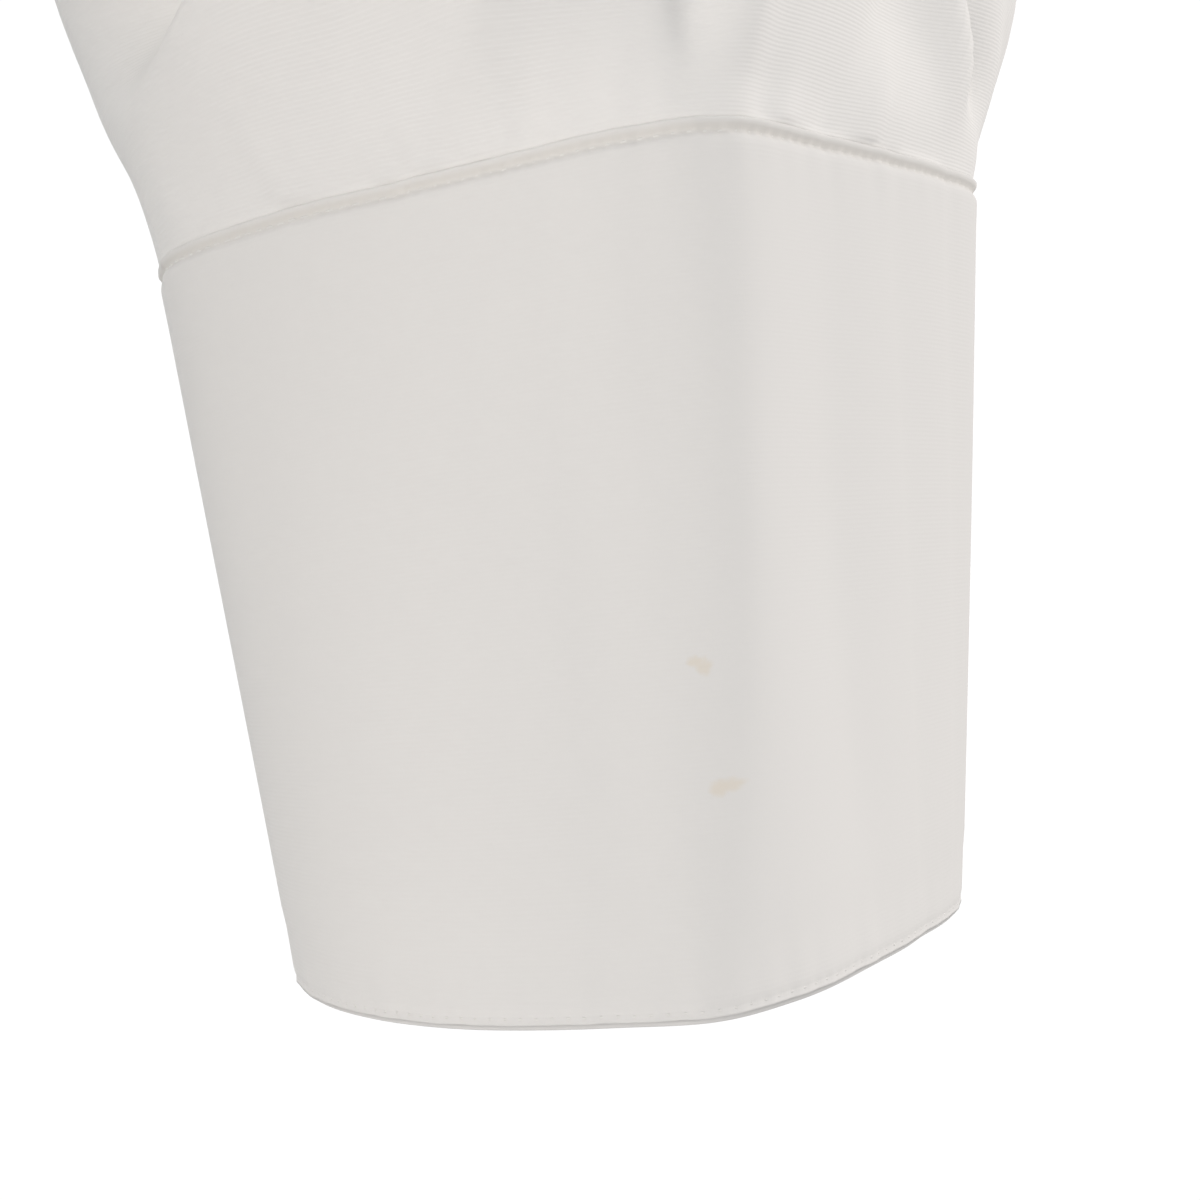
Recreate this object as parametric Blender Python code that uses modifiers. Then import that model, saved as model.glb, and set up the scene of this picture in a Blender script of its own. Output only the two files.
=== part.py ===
"""Long sleeve dress shirt, filled out as if worn, with the arms hanging.

Blender 4.5 script in metres, +Z up. The shirt faces -Y, so the wearer's left side is +X.
The origin is the middle of the neck, level with the side of the neck seam, where the
wearer's shoulders carry the yoke.

Every cloth piece is a closed wall between an outer skin and an inner skin. The skins are
lofts between unlike sections, so their faces are built here, from two shapes: torso(),
through the body's sections, and sleeve(), which fans out of the armhole and runs down the
arm to the cuff. What lies on a panel takes that panel's points, moved out.
"""
from collections import namedtuple

import bmesh
import bpy
import numpy as np
from mathutils import Vector

MM = 0.001

# ---- Driving sizes ---------------------------------------------------------------------
CLOTH = 1.2 * MM  # body and sleeve wall
BAND = 1.0 * MM  # placket strips, which lie on another wall
STIFF = 2.2 * MM  # collar and cuff wall: two layers and an interlining
SEAM = 0.3 * MM  # gap between two pieces

FRONT_LAP = 16 * MM  # each front runs this far past the centre front
LAP_EASE = 14 * MM  # and the lower one comes level again over this width
YOKE_FRONT_AT_NECK = -34 * MM  # y of the end of the yoke's front seam
ARMHOLE_FRONT = 60 * MM  # half-widths of the armhole
ARMHOLE_BACK = 62 * MM

SLEEVE_COLUMNS = 24
SLIT_TURN = 307.5  # degrees round the arm: the back of the wrist, on the outer side
SLIT_WIDTH = 3 * MM
SLIT_LENGTH = 120 * MM
SLEEVE_PLACKET_WIDTH = 25 * MM
SLEEVE_PLACKET_LENGTH = 150 * MM
SLEEVE_PLACKET_PEAK = 14 * MM  # height of its pointed top

CUFF_DEPTH = 75 * MM
CUFF_OVERLAP = 36.0  # degrees of buttoned overlap, centred on the slit
CUFF_EASE = 30.0  # degrees over which the lower end comes level again
CUFF_CORNER = 12 * MM  # radius of the rounded lower corners
CUFF_STEP = 0.5 * MM  # the sleeve lies this far inside the cuff's outer face

STAND_BACK = 31 * MM  # collar stand's height at the centre back and front
STAND_FRONT = 26 * MM
STAND_LEAN = 0.10  # how far the stand leans in for each unit of height
STAND_CORNER = 12 * MM
LEAF_RISE = 2.5 * MM  # the leaf's straight rise off the stand, before it rolls over
LEAF_CLEAR = 1.6 * MM  # between the leaf's edge and the body

FRONT_BUTTON = 11 * MM  # diameters
SMALL_BUTTON = 9.5 * MM
BUTTON_DEPTH = 2.4 * MM
FRONT_BUTTONS = 6  # down the placket; one more closes the stand
FIRST_BUTTON = 62 * MM  # below the neck seam
BUTTON_SPACING = 88 * MM

# ---- Body sections, from the hem to the neck seam --------------------------------------
# side_z is a section's height at the sides; front_z and back_z are its heights at the
# centre front and back, and dip is how sharply it leaves side_z. side_y is the y of its
# widest points. squareness is the exponent of its rounded outline, 2 for an ellipse.
Section = namedtuple(
    "Section", "side_z half_width front back side_y squareness front_z back_z dip"
)
HEM, UNDERARM, SHOULDER, NECK = -0.700, -0.265, -0.048, 0.000
TORSO = (
    Section(HEM, 0.217, 0.119, 0.122, 0, 2.15, -0.748, -0.765, 4.0),
    Section(-0.610, 0.213, 0.121, 0.121, 0, 2.15, -0.632, -0.640, 3.5),  # hip
    Section(-0.520, 0.207, 0.121, 0.112, 0, 2.15, -0.530, -0.530, 2.5),
    Section(-0.430, 0.202, 0.119, 0.104, 0, 2.15, -0.433, -0.433, 2.0),  # waist
    Section(-0.345, 0.206, 0.121, 0.110, 0, 2.20, -0.345, -0.345, 2.0),
    Section(UNDERARM, 0.213, 0.124, 0.120, 0, 2.30, -0.265, -0.265, 2.0),
    Section(-0.200, 0.218, 0.120, 0.125, -0.003, 2.40, -0.206, -0.200, 2.0),
    Section(-0.130, 0.222, 0.106, 0.121, -0.009, 2.35, -0.148, -0.133, 2.0),
    Section(-0.080, 0.2235, 0.089, 0.108, -0.015, 2.25, -0.118, -0.086, 2.0),
    Section(-0.058, 0.2205, 0.082, 0.098, -0.017, 2.15, -0.107, -0.067, 2.0),
    Section(SHOULDER, 0.2145, 0.079, 0.092, -0.018, 2.05, -0.101, -0.058, 2.0),
    Section(-0.040, 0.1980, 0.076, 0.086, -0.017, 2.00, -0.096, -0.049, 2.0),
    Section(-0.028, 0.1580, 0.0715, 0.077, -0.013, 2.00, -0.0895, -0.0365, 2.0),
    Section(-0.014, 0.1080, 0.0655, 0.065, -0.006, 2.00, -0.0800, -0.0190, 2.0),
    Section(NECK, 0.0620, 0.0580, 0.052, 0, 2.00, -0.0700, 0.0020, 2.0),
)
HEM_ROWS = 11  # rows of points from the hem to the underarm
NECK_ROWS = 5  # and from the shoulder tip to the neck seam, closer at the shoulder
FRONT_COLUMNS = 10  # from the lapped edge's easing to the side
BACK_COLUMNS = 27
YOKE_COLUMNS = 23
YOKE_TURN = 60.0  # the yoke's back seam meets the armhole this far round from its top

# ---- Sleeve sections, from the armhole to the cuff seam --------------------------------
# A section is a closed curve round the arm. Its highest and lowest points lie on the
# overarm and underarm lines, and front and back are its half-depths along Y.
Ring = namedtuple("Ring", "along top_x top_z bottom_x bottom_z front back centre_y")
SLEEVE = (
    Ring(0.000, 0.2145, -0.048, 0.2130, -0.265, 0.060, 0.062, -0.005),  # armhole
    Ring(0.025, 0.2440, -0.053, 0.2150, -0.268, 0.063, 0.065, -0.003),
    Ring(0.052, 0.2690, -0.066, 0.2175, -0.272, 0.066, 0.068, -0.001),
    Ring(0.085, 0.2940, -0.090, 0.2205, -0.279, 0.068, 0.070, 0.000),
    Ring(0.125, 0.3130, -0.128, 0.2240, -0.289, 0.068, 0.071, 0.000),
    Ring(0.175, 0.3270, -0.176, 0.2285, -0.305, 0.066, 0.070, 0.001),
    Ring(0.230, 0.3380, -0.232, 0.2350, -0.334, 0.063, 0.067, 0.001),
    Ring(0.290, 0.3475, -0.292, 0.2430, -0.367, 0.060, 0.063, 0.000),
    Ring(0.350, 0.3555, -0.352, 0.2510, -0.407, 0.057, 0.059, -0.001),  # elbow
    Ring(0.410, 0.3620, -0.412, 0.2590, -0.447, 0.055, 0.056, -0.005),
    Ring(0.465, 0.3690, -0.468, 0.2645, -0.487, 0.0500, 0.0525, -0.010),
    Ring(0.505, 0.3740, -0.508, 0.2680, -0.520, 0.0460, 0.0495, -0.013),
    Ring(0.535, 0.3765, -0.538, 0.2735, -0.545, 0.0405, 0.0450, -0.016),
    Ring(0.555, 0.3735, -0.557, 0.2795, -0.562, 0.0355, 0.0385, -0.017),
    Ring(0.572, 0.3660, -0.573, 0.2840, -0.576, 0.032, 0.032, -0.018),  # cuff seam
)
SLEEVE_END = SLEEVE[-1].along
ARMHOLE_FADE = 0.120  # the armhole's own shape has faded out this far down the sleeve
CUFF_FADE = 0.100  # and the cuff's shape this far up from the cuff

# ---- The cuff: its radius in millimetres at the upper and the lower edge ---------------
# The turn runs from the arm's outer side (0) to its front (90), inner side and back.
Radius = namedtuple("Radius", "turn upper lower")
CUFF = (
    Radius(0, 38.5, 34.6),
    Radius(20, 43.8, 34.9),
    Radius(32, 43.8, 34.4),
    Radius(43, 39.4, 32.6),
    Radius(57, 34.9, 30.3),
    Radius(75, 32.5, 30.0),
    Radius(95, 31.9, 31.3),
    Radius(110, 29.3, 32.1),
    Radius(125, 26.0, 31.2),
    Radius(140, 24.6, 30.8),
    Radius(155, 25.2, 31.2),
    Radius(170, 28.4, 32.2),
    Radius(185, 33.3, 33.7),
    Radius(204, 41.7, 35.4),
    Radius(216, 43.6, 36.0),
    Radius(240, 38.0, 36.5),
    Radius(270, 32.0, 34.8),
    Radius(300, 30.0, 33.5),
    Radius(330, 32.0, 33.6),
)
CUFF_TOP = np.array((0.3268, -0.0178, -0.5752))  # centre of the left cuff's upper edge
FOREARM_UP = np.array((-0.0862, 0.0598, 0.9945))  # from the wrist to the elbow

# ---- The collar leaf: where its edge lies on the body, and how wide it rolls over ------
Leaf = namedtuple("Leaf", "root_angle edge_angle edge_height roll")
LEAF = (
    Leaf(6.5, 12.5, -0.056, 3.6 * MM),  # the collar's point
    Leaf(22, 20.5, -0.032, 3.4 * MM),
    Leaf(45, 37, -0.0185, 3.2 * MM),
    Leaf(90, 90, -0.0075, 2.6 * MM),
    Leaf(135, 135, -0.006, 2.4 * MM),
    Leaf(180, 180, -0.005, 2.4 * MM),
)

# ---- The largest folds -----------------------------------------------------------------
# angle and place are a fold's middle, in degrees round the body or arm and metres along
# it. lie is 0 where it runs along, and 90 where it runs round. length and width are where
# it has faded to a third, and depth is positive for a ridge and negative for a trough.
Fold = namedtuple("Fold", "angle place lie length width depth")
BODY_FOLDS = (
    Fold(50, -0.280, 30, 0.085, 0.020, -0.0080),  # from the left armhole to the chest
    Fold(64, -0.345, 24, 0.085, 0.022, 0.0070),
    Fold(40, -0.505, -4, 0.120, 0.026, 0.0095),  # below the waist
    Fold(62, -0.560, 6, 0.130, 0.022, -0.0085),
    Fold(24, -0.690, 0, 0.075, 0.026, 0.0070),  # the tail
    Fold(80, -0.440, 76, 0.055, 0.020, -0.0060),  # side waist
    Fold(-48, -0.290, -26, 0.080, 0.020, -0.0075),  # from the right armhole
    Fold(-67, -0.360, -20, 0.085, 0.022, 0.0075),
    Fold(-37, -0.525, 5, 0.110, 0.026, 0.0085),
    Fold(-60, -0.575, -8, 0.120, 0.022, -0.0080),
    Fold(-27, -0.700, 0, 0.065, 0.026, 0.0065),
    Fold(-83, -0.425, -74, 0.055, 0.020, -0.0060),
    Fold(122, -0.255, -28, 0.090, 0.022, -0.0080),  # from the armholes to the back
    Fold(238, -0.245, 26, 0.085, 0.022, -0.0075),
    Fold(146, -0.470, 5, 0.150, 0.026, 0.0100),  # down the back
    Fold(173, -0.525, -3, 0.130, 0.024, -0.0080),
    Fold(206, -0.480, -5, 0.150, 0.026, 0.0095),
    Fold(118, -0.565, 8, 0.120, 0.022, -0.0080),
    Fold(237, -0.590, -7, 0.120, 0.022, -0.0075),
    Fold(160, -0.715, 0, 0.070, 0.026, 0.0065),
    Fold(195, -0.705, 0, 0.065, 0.024, -0.0060),
)
LEFT_FOLDS = (
    Fold(128, 0.075, 35, 0.040, 0.014, -0.0060),  # under the arm
    Fold(222, 0.085, -32, 0.042, 0.014, -0.0055),
    Fold(60, 0.110, 18, 0.055, 0.016, 0.0045),
    Fold(300, 0.120, -15, 0.060, 0.016, 0.0045),
    Fold(100, 0.318, 68, 0.045, 0.015, -0.0075),  # inside the elbow
    Fold(128, 0.356, 82, 0.040, 0.014, -0.0065),
    Fold(82, 0.392, 62, 0.042, 0.014, -0.0055),
    Fold(285, 0.350, 84, 0.040, 0.018, 0.0050),
    Fold(35, 0.440, 24, 0.060, 0.014, -0.0050),  # forearm
    Fold(170, 0.455, -20, 0.060, 0.015, 0.0055),
    Fold(246, 0.470, 14, 0.055, 0.014, -0.0055),
    Fold(204, 0.545, 74, 0.028, 0.011, 0.0020),  # fullness over the cuff
    Fold(128, 0.535, 4, 0.030, 0.012, 0.0035),
    Fold(58, 0.548, -12, 0.022, 0.010, -0.0030),
    Fold(352, 0.546, 12, 0.024, 0.011, 0.0045),
    Fold(270, 0.545, -8, 0.026, 0.010, -0.0045),
)
RIGHT_FOLDS = (
    Fold(134, 0.070, 30, 0.042, 0.014, -0.0055),
    Fold(226, 0.092, -36, 0.040, 0.014, -0.0060),
    Fold(54, 0.125, 14, 0.060, 0.016, 0.0050),
    Fold(306, 0.105, -18, 0.055, 0.016, 0.0040),
    Fold(108, 0.326, 74, 0.044, 0.014, -0.0070),
    Fold(84, 0.364, 60, 0.045, 0.015, -0.0070),
    Fold(134, 0.398, 80, 0.036, 0.014, -0.0050),
    Fold(276, 0.340, 80, 0.042, 0.018, 0.0055),
    Fold(22, 0.452, 18, 0.062, 0.014, -0.0055),
    Fold(180, 0.438, -16, 0.058, 0.015, 0.0050),
    Fold(240, 0.484, 18, 0.050, 0.014, -0.0050),
    Fold(150, 0.549, 62, 0.030, 0.011, 0.0055),
    Fold(96, 0.540, -6, 0.026, 0.011, -0.0040),
    Fold(44, 0.546, 14, 0.024, 0.011, 0.0040),
    Fold(346, 0.550, -10, 0.022, 0.010, -0.0035),
    Fold(258, 0.544, 8, 0.026, 0.011, 0.0045),
)
BODY_RADIUS = 0.170  # turns a fold's angle into a width
ARM_RADIUS = 0.055


# ---- Curves through tables -------------------------------------------------------------
def through(knots, values, at):
    """A smooth curve through (knots, values) that never overshoots, read at `at`."""
    knots, values, at = (np.asarray(item, float) for item in (knots, values, at))
    step = np.diff(knots)
    slope = np.diff(values) / step
    product, total = slope[:-1] * slope[1:], slope[:-1] + slope[1:]
    turning = product <= 0
    tangent = np.concatenate(
        (slope[:1], np.where(turning, 0, 2 * product / np.where(turning, 1, total)), slope[-1:])
    )
    i = np.clip(np.searchsorted(knots, at) - 1, 0, len(step) - 1)
    t = (at - knots[i]) / step[i]
    bend = t * (1 - t) ** 2 * tangent[i] + t * t * (t - 1) * tangent[i + 1]
    return values[i] + t * t * (3 - 2 * t) * (values[i + 1] - values[i]) + step[i] * bend


def column(table, name):
    return [getattr(row, name) for row in table]


def smooth(t):
    """0 below 0, 1 above 1, and an even rise between."""
    t = np.clip(t, 0, 1)
    return t * t * (3 - 2 * t)


def unit(vectors):
    return vectors / np.linalg.norm(vectors, axis=-1, keepdims=True)


def normals(shape, across, along, step=(0.01, 0.002)):
    """Outward unit normals of shape(across, along), from a small step each way."""
    side = shape(across + step[0], along) - shape(across - step[0], along)
    down = shape(across, along + step[1]) - shape(across, along - step[1])
    return unit(np.cross(side, down))


def fold_height(folds, angle, place, radius):
    """How far the folds lift the cloth at each point, in metres."""
    height = np.zeros(np.broadcast(angle, place).shape)
    for fold in folds:
        turn = np.deg2rad(fold.angle)
        around = radius * (np.remainder(angle - turn + np.pi, 2 * np.pi) - np.pi)
        down = place - fold.place
        lie = np.deg2rad(fold.lie)
        lengthways = down * np.cos(lie) + around * np.sin(lie)
        sideways = around * np.cos(lie) - down * np.sin(lie)
        height += fold.depth * np.exp(
            -((lengthways / fold.length) ** 2) - (sideways / fold.width) ** 2
        )
    return height


# ---- The body --------------------------------------------------------------------------
def body_size(name, height):
    return through(column(TORSO, "side_z"), column(TORSO, name), height)


def body_depth(height, facing):
    """How far a section reaches from its widest points, forward where it faces front."""
    forward = body_size("front", height) + body_size("side_y", height)
    return np.where(facing, forward, body_size("back", height) - body_size("side_y", height))


def torso(angle, height):
    """The body's outer skin: angle is 0 at the centre front and a quarter turn at the
    wearer's left side, and height is the row's height at the side."""
    angle, height = np.broadcast_arrays(np.asarray(angle, float), height)
    sine, cosine = np.sin(angle), np.cos(angle)
    facing = cosine > 0
    middle_z = np.where(facing, body_size("front_z", height), body_size("back_z", height))
    round_off = 2 / body_size("squareness", height)
    x = body_size("half_width", height) * np.sign(sine) * np.abs(sine) ** round_off
    forward = body_depth(height, facing) * np.sign(cosine) * np.abs(cosine) ** round_off
    y = body_size("side_y", height) - forward
    z = height + (middle_z - height) * np.abs(cosine) ** body_size("dip", height)
    lift = fold_height(BODY_FOLDS, angle, height, BODY_RADIUS)
    return np.stack((x + lift * sine, y - lift * cosine, z), axis=-1)


def angle_at_x(x, height):
    """The angle at which the front of a row passes x."""
    share = np.abs(x) / body_size("half_width", height)
    return np.sign(x) * np.arcsin(share ** (body_size("squareness", height) / 2))


def angle_at_y(y, height):
    """The angle at which the left half of a row passes y."""
    behind = y - body_size("side_y", height)
    share = np.abs(behind) / body_depth(height, behind < 0)
    return np.arccos(-np.sign(behind) * share ** (body_size("squareness", height) / 2))


ARMHOLE_MIDDLE = (SHOULDER + UNDERARM) / 2
ARMHOLE_HALF = (SHOULDER - UNDERARM) / 2
SHOULDER_Y = float(body_size("side_y", SHOULDER))


def armhole_y(turn):
    """The armhole's y at each turn: 0 is its top, and a quarter turn its front."""
    sine = np.sin(turn)
    lean = SHOULDER_Y * (1 + np.cos(turn)) / 2
    return lean - sine * np.where(sine > 0, ARMHOLE_FRONT, ARMHOLE_BACK)


def armhole_place(turn, side):
    """The armhole's (angle, height) on the body. side is 1 for left and -1 for right."""
    height = ARMHOLE_MIDDLE + ARMHOLE_HALF * np.cos(turn)
    return side * angle_at_y(armhole_y(turn), height), height


def armhole_turn(height):
    """The turn at which the front of the armhole passes a row."""
    return np.arccos(np.clip((height - ARMHOLE_MIDDLE) / ARMHOLE_HALF, -1, 1))


def panel_edge(height, back):
    """The angle on the left half where the front, or the back and yoke, ends on each row:
    at the side seam, then the armhole, then the yoke's front seam."""
    turn = armhole_turn(height)
    gap = SEAM / 2 if back else -SEAM / 2
    along_yoke = (height - SHOULDER) / (NECK - SHOULDER)
    yoke_seam = SHOULDER_Y + (YOKE_FRONT_AT_NECK - SHOULDER_Y) * along_yoke
    y = np.where(height > SHOULDER - MM, yoke_seam + gap, armhole_y(-turn if back else turn))
    return angle_at_y(np.where(height < UNDERARM + MM, gap, y), height)


def armhole_rows(first, last):
    """Heights of the rows between two turns, one at each column of the sleeve."""
    turns = np.arange(first, last - 1, -360 / SLEEVE_COLUMNS)
    return ARMHOLE_MIDDLE + ARMHOLE_HALF * np.cos(np.deg2rad(turns))


LOWER_ROWS = np.linspace(HEM, UNDERARM, HEM_ROWS)[:-1]
UPPER_ROWS = SHOULDER + (NECK - SHOULDER) * np.linspace(0, 1, NECK_ROWS + 1)[1:] ** 1.5
FRONT_ROWS = np.concatenate((LOWER_ROWS, armhole_rows(180, 0), UPPER_ROWS))
BACK_ROWS = np.concatenate((LOWER_ROWS, armhole_rows(180, YOKE_TURN)))
YOKE_ROWS = np.concatenate((armhole_rows(YOKE_TURN, 0), UPPER_ROWS))
BACK_ROWS[-1] -= SEAM / 2
YOKE_ROWS[0] += SEAM / 2


def seam_normal(turn, side):
    """The direction both walls share at the armhole, half-way between their own."""
    body = normals(torso, *armhole_place(turn, side)) * (side, 1, 1)
    arm = normals(lambda t, a: sleeve(t, a, side), turn, np.zeros_like(turn))
    return unit(body + arm)


def body_panel(angles, heights, back):
    """(outer skin, normals) of a body panel. Where its edge lies on an armhole, the
    normals are the seam's. angles has a row for each height."""
    heights = np.repeat(heights[:, None], angles.shape[1], axis=1)
    skin, out = torso(angles, heights), normals(torso, angles, heights)
    on_armhole = (heights[:, 0] > UNDERARM - MM) & (heights[:, 0] < SHOULDER + MM)
    for end in (0, -1):
        side = 1 if skin[0, end, 0] > 0 else -1
        if not back and abs(skin[0, end, 0]) < 2 * FRONT_LAP:
            continue
        turn = armhole_turn(heights[on_armhole, end])
        shared = seam_normal(-turn if back else turn, side)
        out[on_armhole, end] = shared * (side, 1, 1)
    return skin, out


# ---- Solids ----------------------------------------------------------------------------
def new_material(name, colour, roughness):
    material = bpy.data.materials.new(name)
    material.use_nodes = True
    shader = material.node_tree.nodes["Principled BSDF"]
    shader.inputs["Base Color"].default_value = (*colour, 1)
    shader.inputs["Roughness"].default_value = roughness
    shader.inputs["Metallic"].default_value = 0
    return material


def add_object(name, mesh, material):
    mesh.materials.append(material)
    mesh.shade_smooth()
    mesh.set_sharp_from_angle(angle=np.deg2rad(40))
    obj = bpy.data.objects.new(name, mesh)
    parts.objects.link(obj)
    return obj


def wall(name, outer, inner, ring=False, absent=()):
    """A closed wall between two grids of points, with a rim round every open edge.
    ring joins the last column to the first. absent lists (row, column) cells left out.
    Each cell is split along the same diagonal, so that walls on shared points nest."""
    rows, columns = outer.shape[:2]
    index = np.arange(rows * columns).reshape(rows, columns)
    cells = [
        (index[r, c], index[r, (c + 1) % columns], index[r + 1, (c + 1) % columns], index[r + 1, c])
        for r in range(rows - 1)
        for c in range(columns if ring else columns - 1)
        if (r, c) not in absent
    ]
    edges = {(cell[i], cell[(i + 1) % 4]) for cell in cells for i in range(4)}
    below = rows * columns  # the inner skin's points follow the outer skin's
    faces = [half for a, b, c, d in cells for half in ((a, b, c), (a, c, d))]
    faces += [(c + below, b + below, a + below) for a, b, c in list(faces)]
    faces += [(b, a, a + below, b + below) for a, b in sorted(edges) if (b, a) not in edges]
    mesh = bpy.data.meshes.new(name)
    points = np.concatenate((outer.reshape(-1, 3), inner.reshape(-1, 3)))
    mesh.from_pydata(points.tolist(), [], [[int(i) for i in face] for face in faces])
    shell = bmesh.new()
    shell.from_mesh(mesh)
    bmesh.ops.recalc_face_normals(shell, faces=shell.faces)
    shell.to_mesh(mesh)
    shell.free()
    return add_object(name, mesh, cotton)


def cloth(name, skin, out, thickness=CLOTH, **options):
    return wall(name, skin, skin - thickness * out, **options)


# ---- Back, yoke and fronts -------------------------------------------------------------
def round_the_back(heights, columns):
    """Angles from the left edge of the back or yoke, round the back, to the right edge."""
    edge = panel_edge(heights, back=True)
    share = np.linspace(0, 1, columns)
    return edge[:, None] + share * (2 * np.pi - 2 * edge)[:, None]


def back_and_yoke():
    panels = ("back", BACK_ROWS, BACK_COLUMNS), ("yoke", YOKE_ROWS, YOKE_COLUMNS)
    for name, heights, columns in panels:
        cloth(name, *body_panel(round_the_back(heights, columns), heights, back=True))


def lap_angles(heights):
    """Three columns across the lapped fronts, at its edges and the centre front."""
    return np.stack([angle_at_x(x, heights) for x in (-FRONT_LAP, 0, FRONT_LAP)], axis=1)


def front(name, side):
    """A front, from its lapped edge to the side. The right one goes under the left."""
    edge = panel_edge(FRONT_ROWS, back=False)
    lap = lap_angles(FRONT_ROWS)
    eased = angle_at_x(FRONT_LAP + LAP_EASE, FRONT_ROWS)
    share = np.linspace(0, 1, FRONT_COLUMNS)
    rest = eased[:, None] + share * (edge - eased)[:, None]
    angles = np.sort(side * np.concatenate((lap, rest), axis=1), axis=1)
    skin, out = body_panel(angles, FRONT_ROWS, back=False)
    if side < 0:
        under = smooth((skin[..., 0] + FRONT_LAP + LAP_EASE) / LAP_EASE)
        skin = skin - (CLOTH + SEAM) * under[..., None] * out
    cloth(name, skin, out)


def front_placket():
    """The band on the left front's edge, from the neck seam to the hem."""
    heights = np.repeat(FRONT_ROWS[:, None], 3, axis=1)
    angles = lap_angles(FRONT_ROWS)
    out = normals(torso, angles, heights)
    skin = torso(angles, heights)
    wall("front_placket", skin + (SEAM + BAND) * out, skin + SEAM * out)


# ---- Cuffs -----------------------------------------------------------------------------
FOREARM_OUT = unit(np.array((1.0, 0, 0)) - FOREARM_UP[0] * FOREARM_UP)
FOREARM_FRONT = np.cross(FOREARM_OUT, FOREARM_UP)


def cuff_radius(turn, edge):
    """The cuff's radius in metres at its upper or lower edge, round and round."""
    turns = np.array(column(CUFF, "turn"), float)
    radii = np.array(column(CUFF, edge))
    knots = np.concatenate((turns - 360, turns, turns + 360))
    at = np.remainder(np.rad2deg(turn), 360)
    return MM * through(knots, np.tile(radii, 3), at)


def round_forearm(turn):
    """The direction out from the forearm's axis at a turn."""
    return np.cos(turn)[..., None] * FOREARM_OUT + np.sin(turn)[..., None] * FOREARM_FRONT


def cuff_skin(turn, down, inset=0.0):
    """The left cuff's outer face: down is 0 at its upper edge and 1 at its lower edge."""
    upper, lower = cuff_radius(turn, "upper"), cuff_radius(turn, "lower")
    radius = upper + down * (lower - upper) - inset
    return CUFF_TOP - (CUFF_DEPTH * down)[..., None] * FOREARM_UP + radius[..., None] * round_forearm(turn)


def rounded_end(distance, corner):
    """How far a rounded corner lifts an edge, at a distance from the end."""
    inside = np.clip(corner - distance, 0, corner)
    return corner - np.sqrt(corner**2 - inside**2)


def cuff(name, side):
    """A strip round the wrist. Its first end lies under the last one, where it buttons."""
    slit, half_lap = SLIT_TURN, CUFF_OVERLAP / 2
    corner_turn = np.rad2deg(CUFF_CORNER / cuff_radius(np.deg2rad(slit), "lower"))
    corner = corner_turn * (1 - np.cos(np.deg2rad((0, 30, 60, 90))))
    first, last = slit - half_lap, slit + 360 + half_lap
    middle = np.arange(first + 2 * half_lap, last - 2 * half_lap + 1, CUFF_OVERLAP / 3)
    turns = np.concatenate((first + corner, middle, (last - corner)[::-1]))
    turn, share = np.meshgrid(np.deg2rad(turns), (0, 0.5, 1), indexing="xy")
    from_end = np.minimum(turns - first, last - turns) * CUFF_CORNER / corner_turn
    lifted = 1 - rounded_end(from_end, CUFF_CORNER) / CUFF_DEPTH
    level = smooth((np.rad2deg(turn) - first - CUFF_OVERLAP) / CUFF_EASE)
    inset = (STIFF + SEAM) * (1 - level)
    skin = cuff_skin(turn, share * lifted, inset)
    inner = cuff_skin(turn, share * lifted, inset + STIFF)
    wall(name, skin * (side, 1, 1), inner * (side, 1, 1))


# ---- Sleeves ---------------------------------------------------------------------------
def arm_size(name, along):
    return through(column(SLEEVE, "along"), column(SLEEVE, name), along)


def plain_ring(turn, along):
    """(points, outward directions) of the plain sections, in the x-z plane of the arm."""
    top = np.stack((arm_size("top_x", along), arm_size("top_z", along)), axis=-1)
    bottom = np.stack((arm_size("bottom_x", along), arm_size("bottom_z", along)), axis=-1)
    cosine, sine = np.cos(turn), np.sin(turn)
    depth = np.where(sine > 0, arm_size("front", along), arm_size("back", along))
    upright = (top - bottom) / 2 * cosine[..., None]
    middle = (top + bottom) / 2
    spoke = np.stack((upright[..., 0], -depth * sine, upright[..., 1]), axis=-1)
    centre = np.stack((middle[..., 0], arm_size("centre_y", along), middle[..., 1]), axis=-1)
    return centre + spoke, unit(spoke)


def sleeve(turn, along, side):
    """The sleeve's outer skin, drawn for the left arm. Its first ring is the armhole, and
    its last one the cuff's upper edge."""
    turn, along = np.broadcast_arrays(np.asarray(turn, float), along)
    points, out = plain_ring(turn, along)
    start = armhole_place(turn, side)
    at_armhole = torso(*start) * (side, 1, 1) + (SEAM, 0, 0)
    at_cuff = cuff_skin(turn, np.zeros_like(turn), CUFF_STEP) + SEAM * FOREARM_UP
    from_start = np.clip(1 - along / ARMHOLE_FADE, 0, 1) ** 2
    from_end = np.clip(1 - (SLEEVE_END - along) / CUFF_FADE, 0, 1) ** 2
    points = points + from_start[..., None] * (at_armhole - plain_ring(turn, 0 * along)[0])
    points = points + from_end[..., None] * (
        at_cuff - plain_ring(turn, SLEEVE_END + 0 * along)[0]
    )
    folds = LEFT_FOLDS if side > 0 else RIGHT_FOLDS
    free = smooth(along / 0.04) * smooth((SLEEVE_END - along) / 0.016)
    lift = free * fold_height(folds, turn, along, ARM_RADIUS)
    return points + lift[..., None] * out


PLACKET_SHOULDER = SLEEVE_END - SLEEVE_PLACKET_LENGTH
PLACKET_PEAK = PLACKET_SHOULDER - SLEEVE_PLACKET_PEAK
SLIT_TOP = SLEEVE_END - SLIT_LENGTH
SLEEVE_ROWS = np.concatenate(
    (
        PLACKET_PEAK * np.linspace(0, 1, 17) ** 1.15,
        (PLACKET_SHOULDER,),
        SLIT_TOP + SLIT_LENGTH * (1 - (1 - np.linspace(0, 1, 8)) ** 1.5),
    )
)
SPACING = 360 / SLEEVE_COLUMNS


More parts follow.
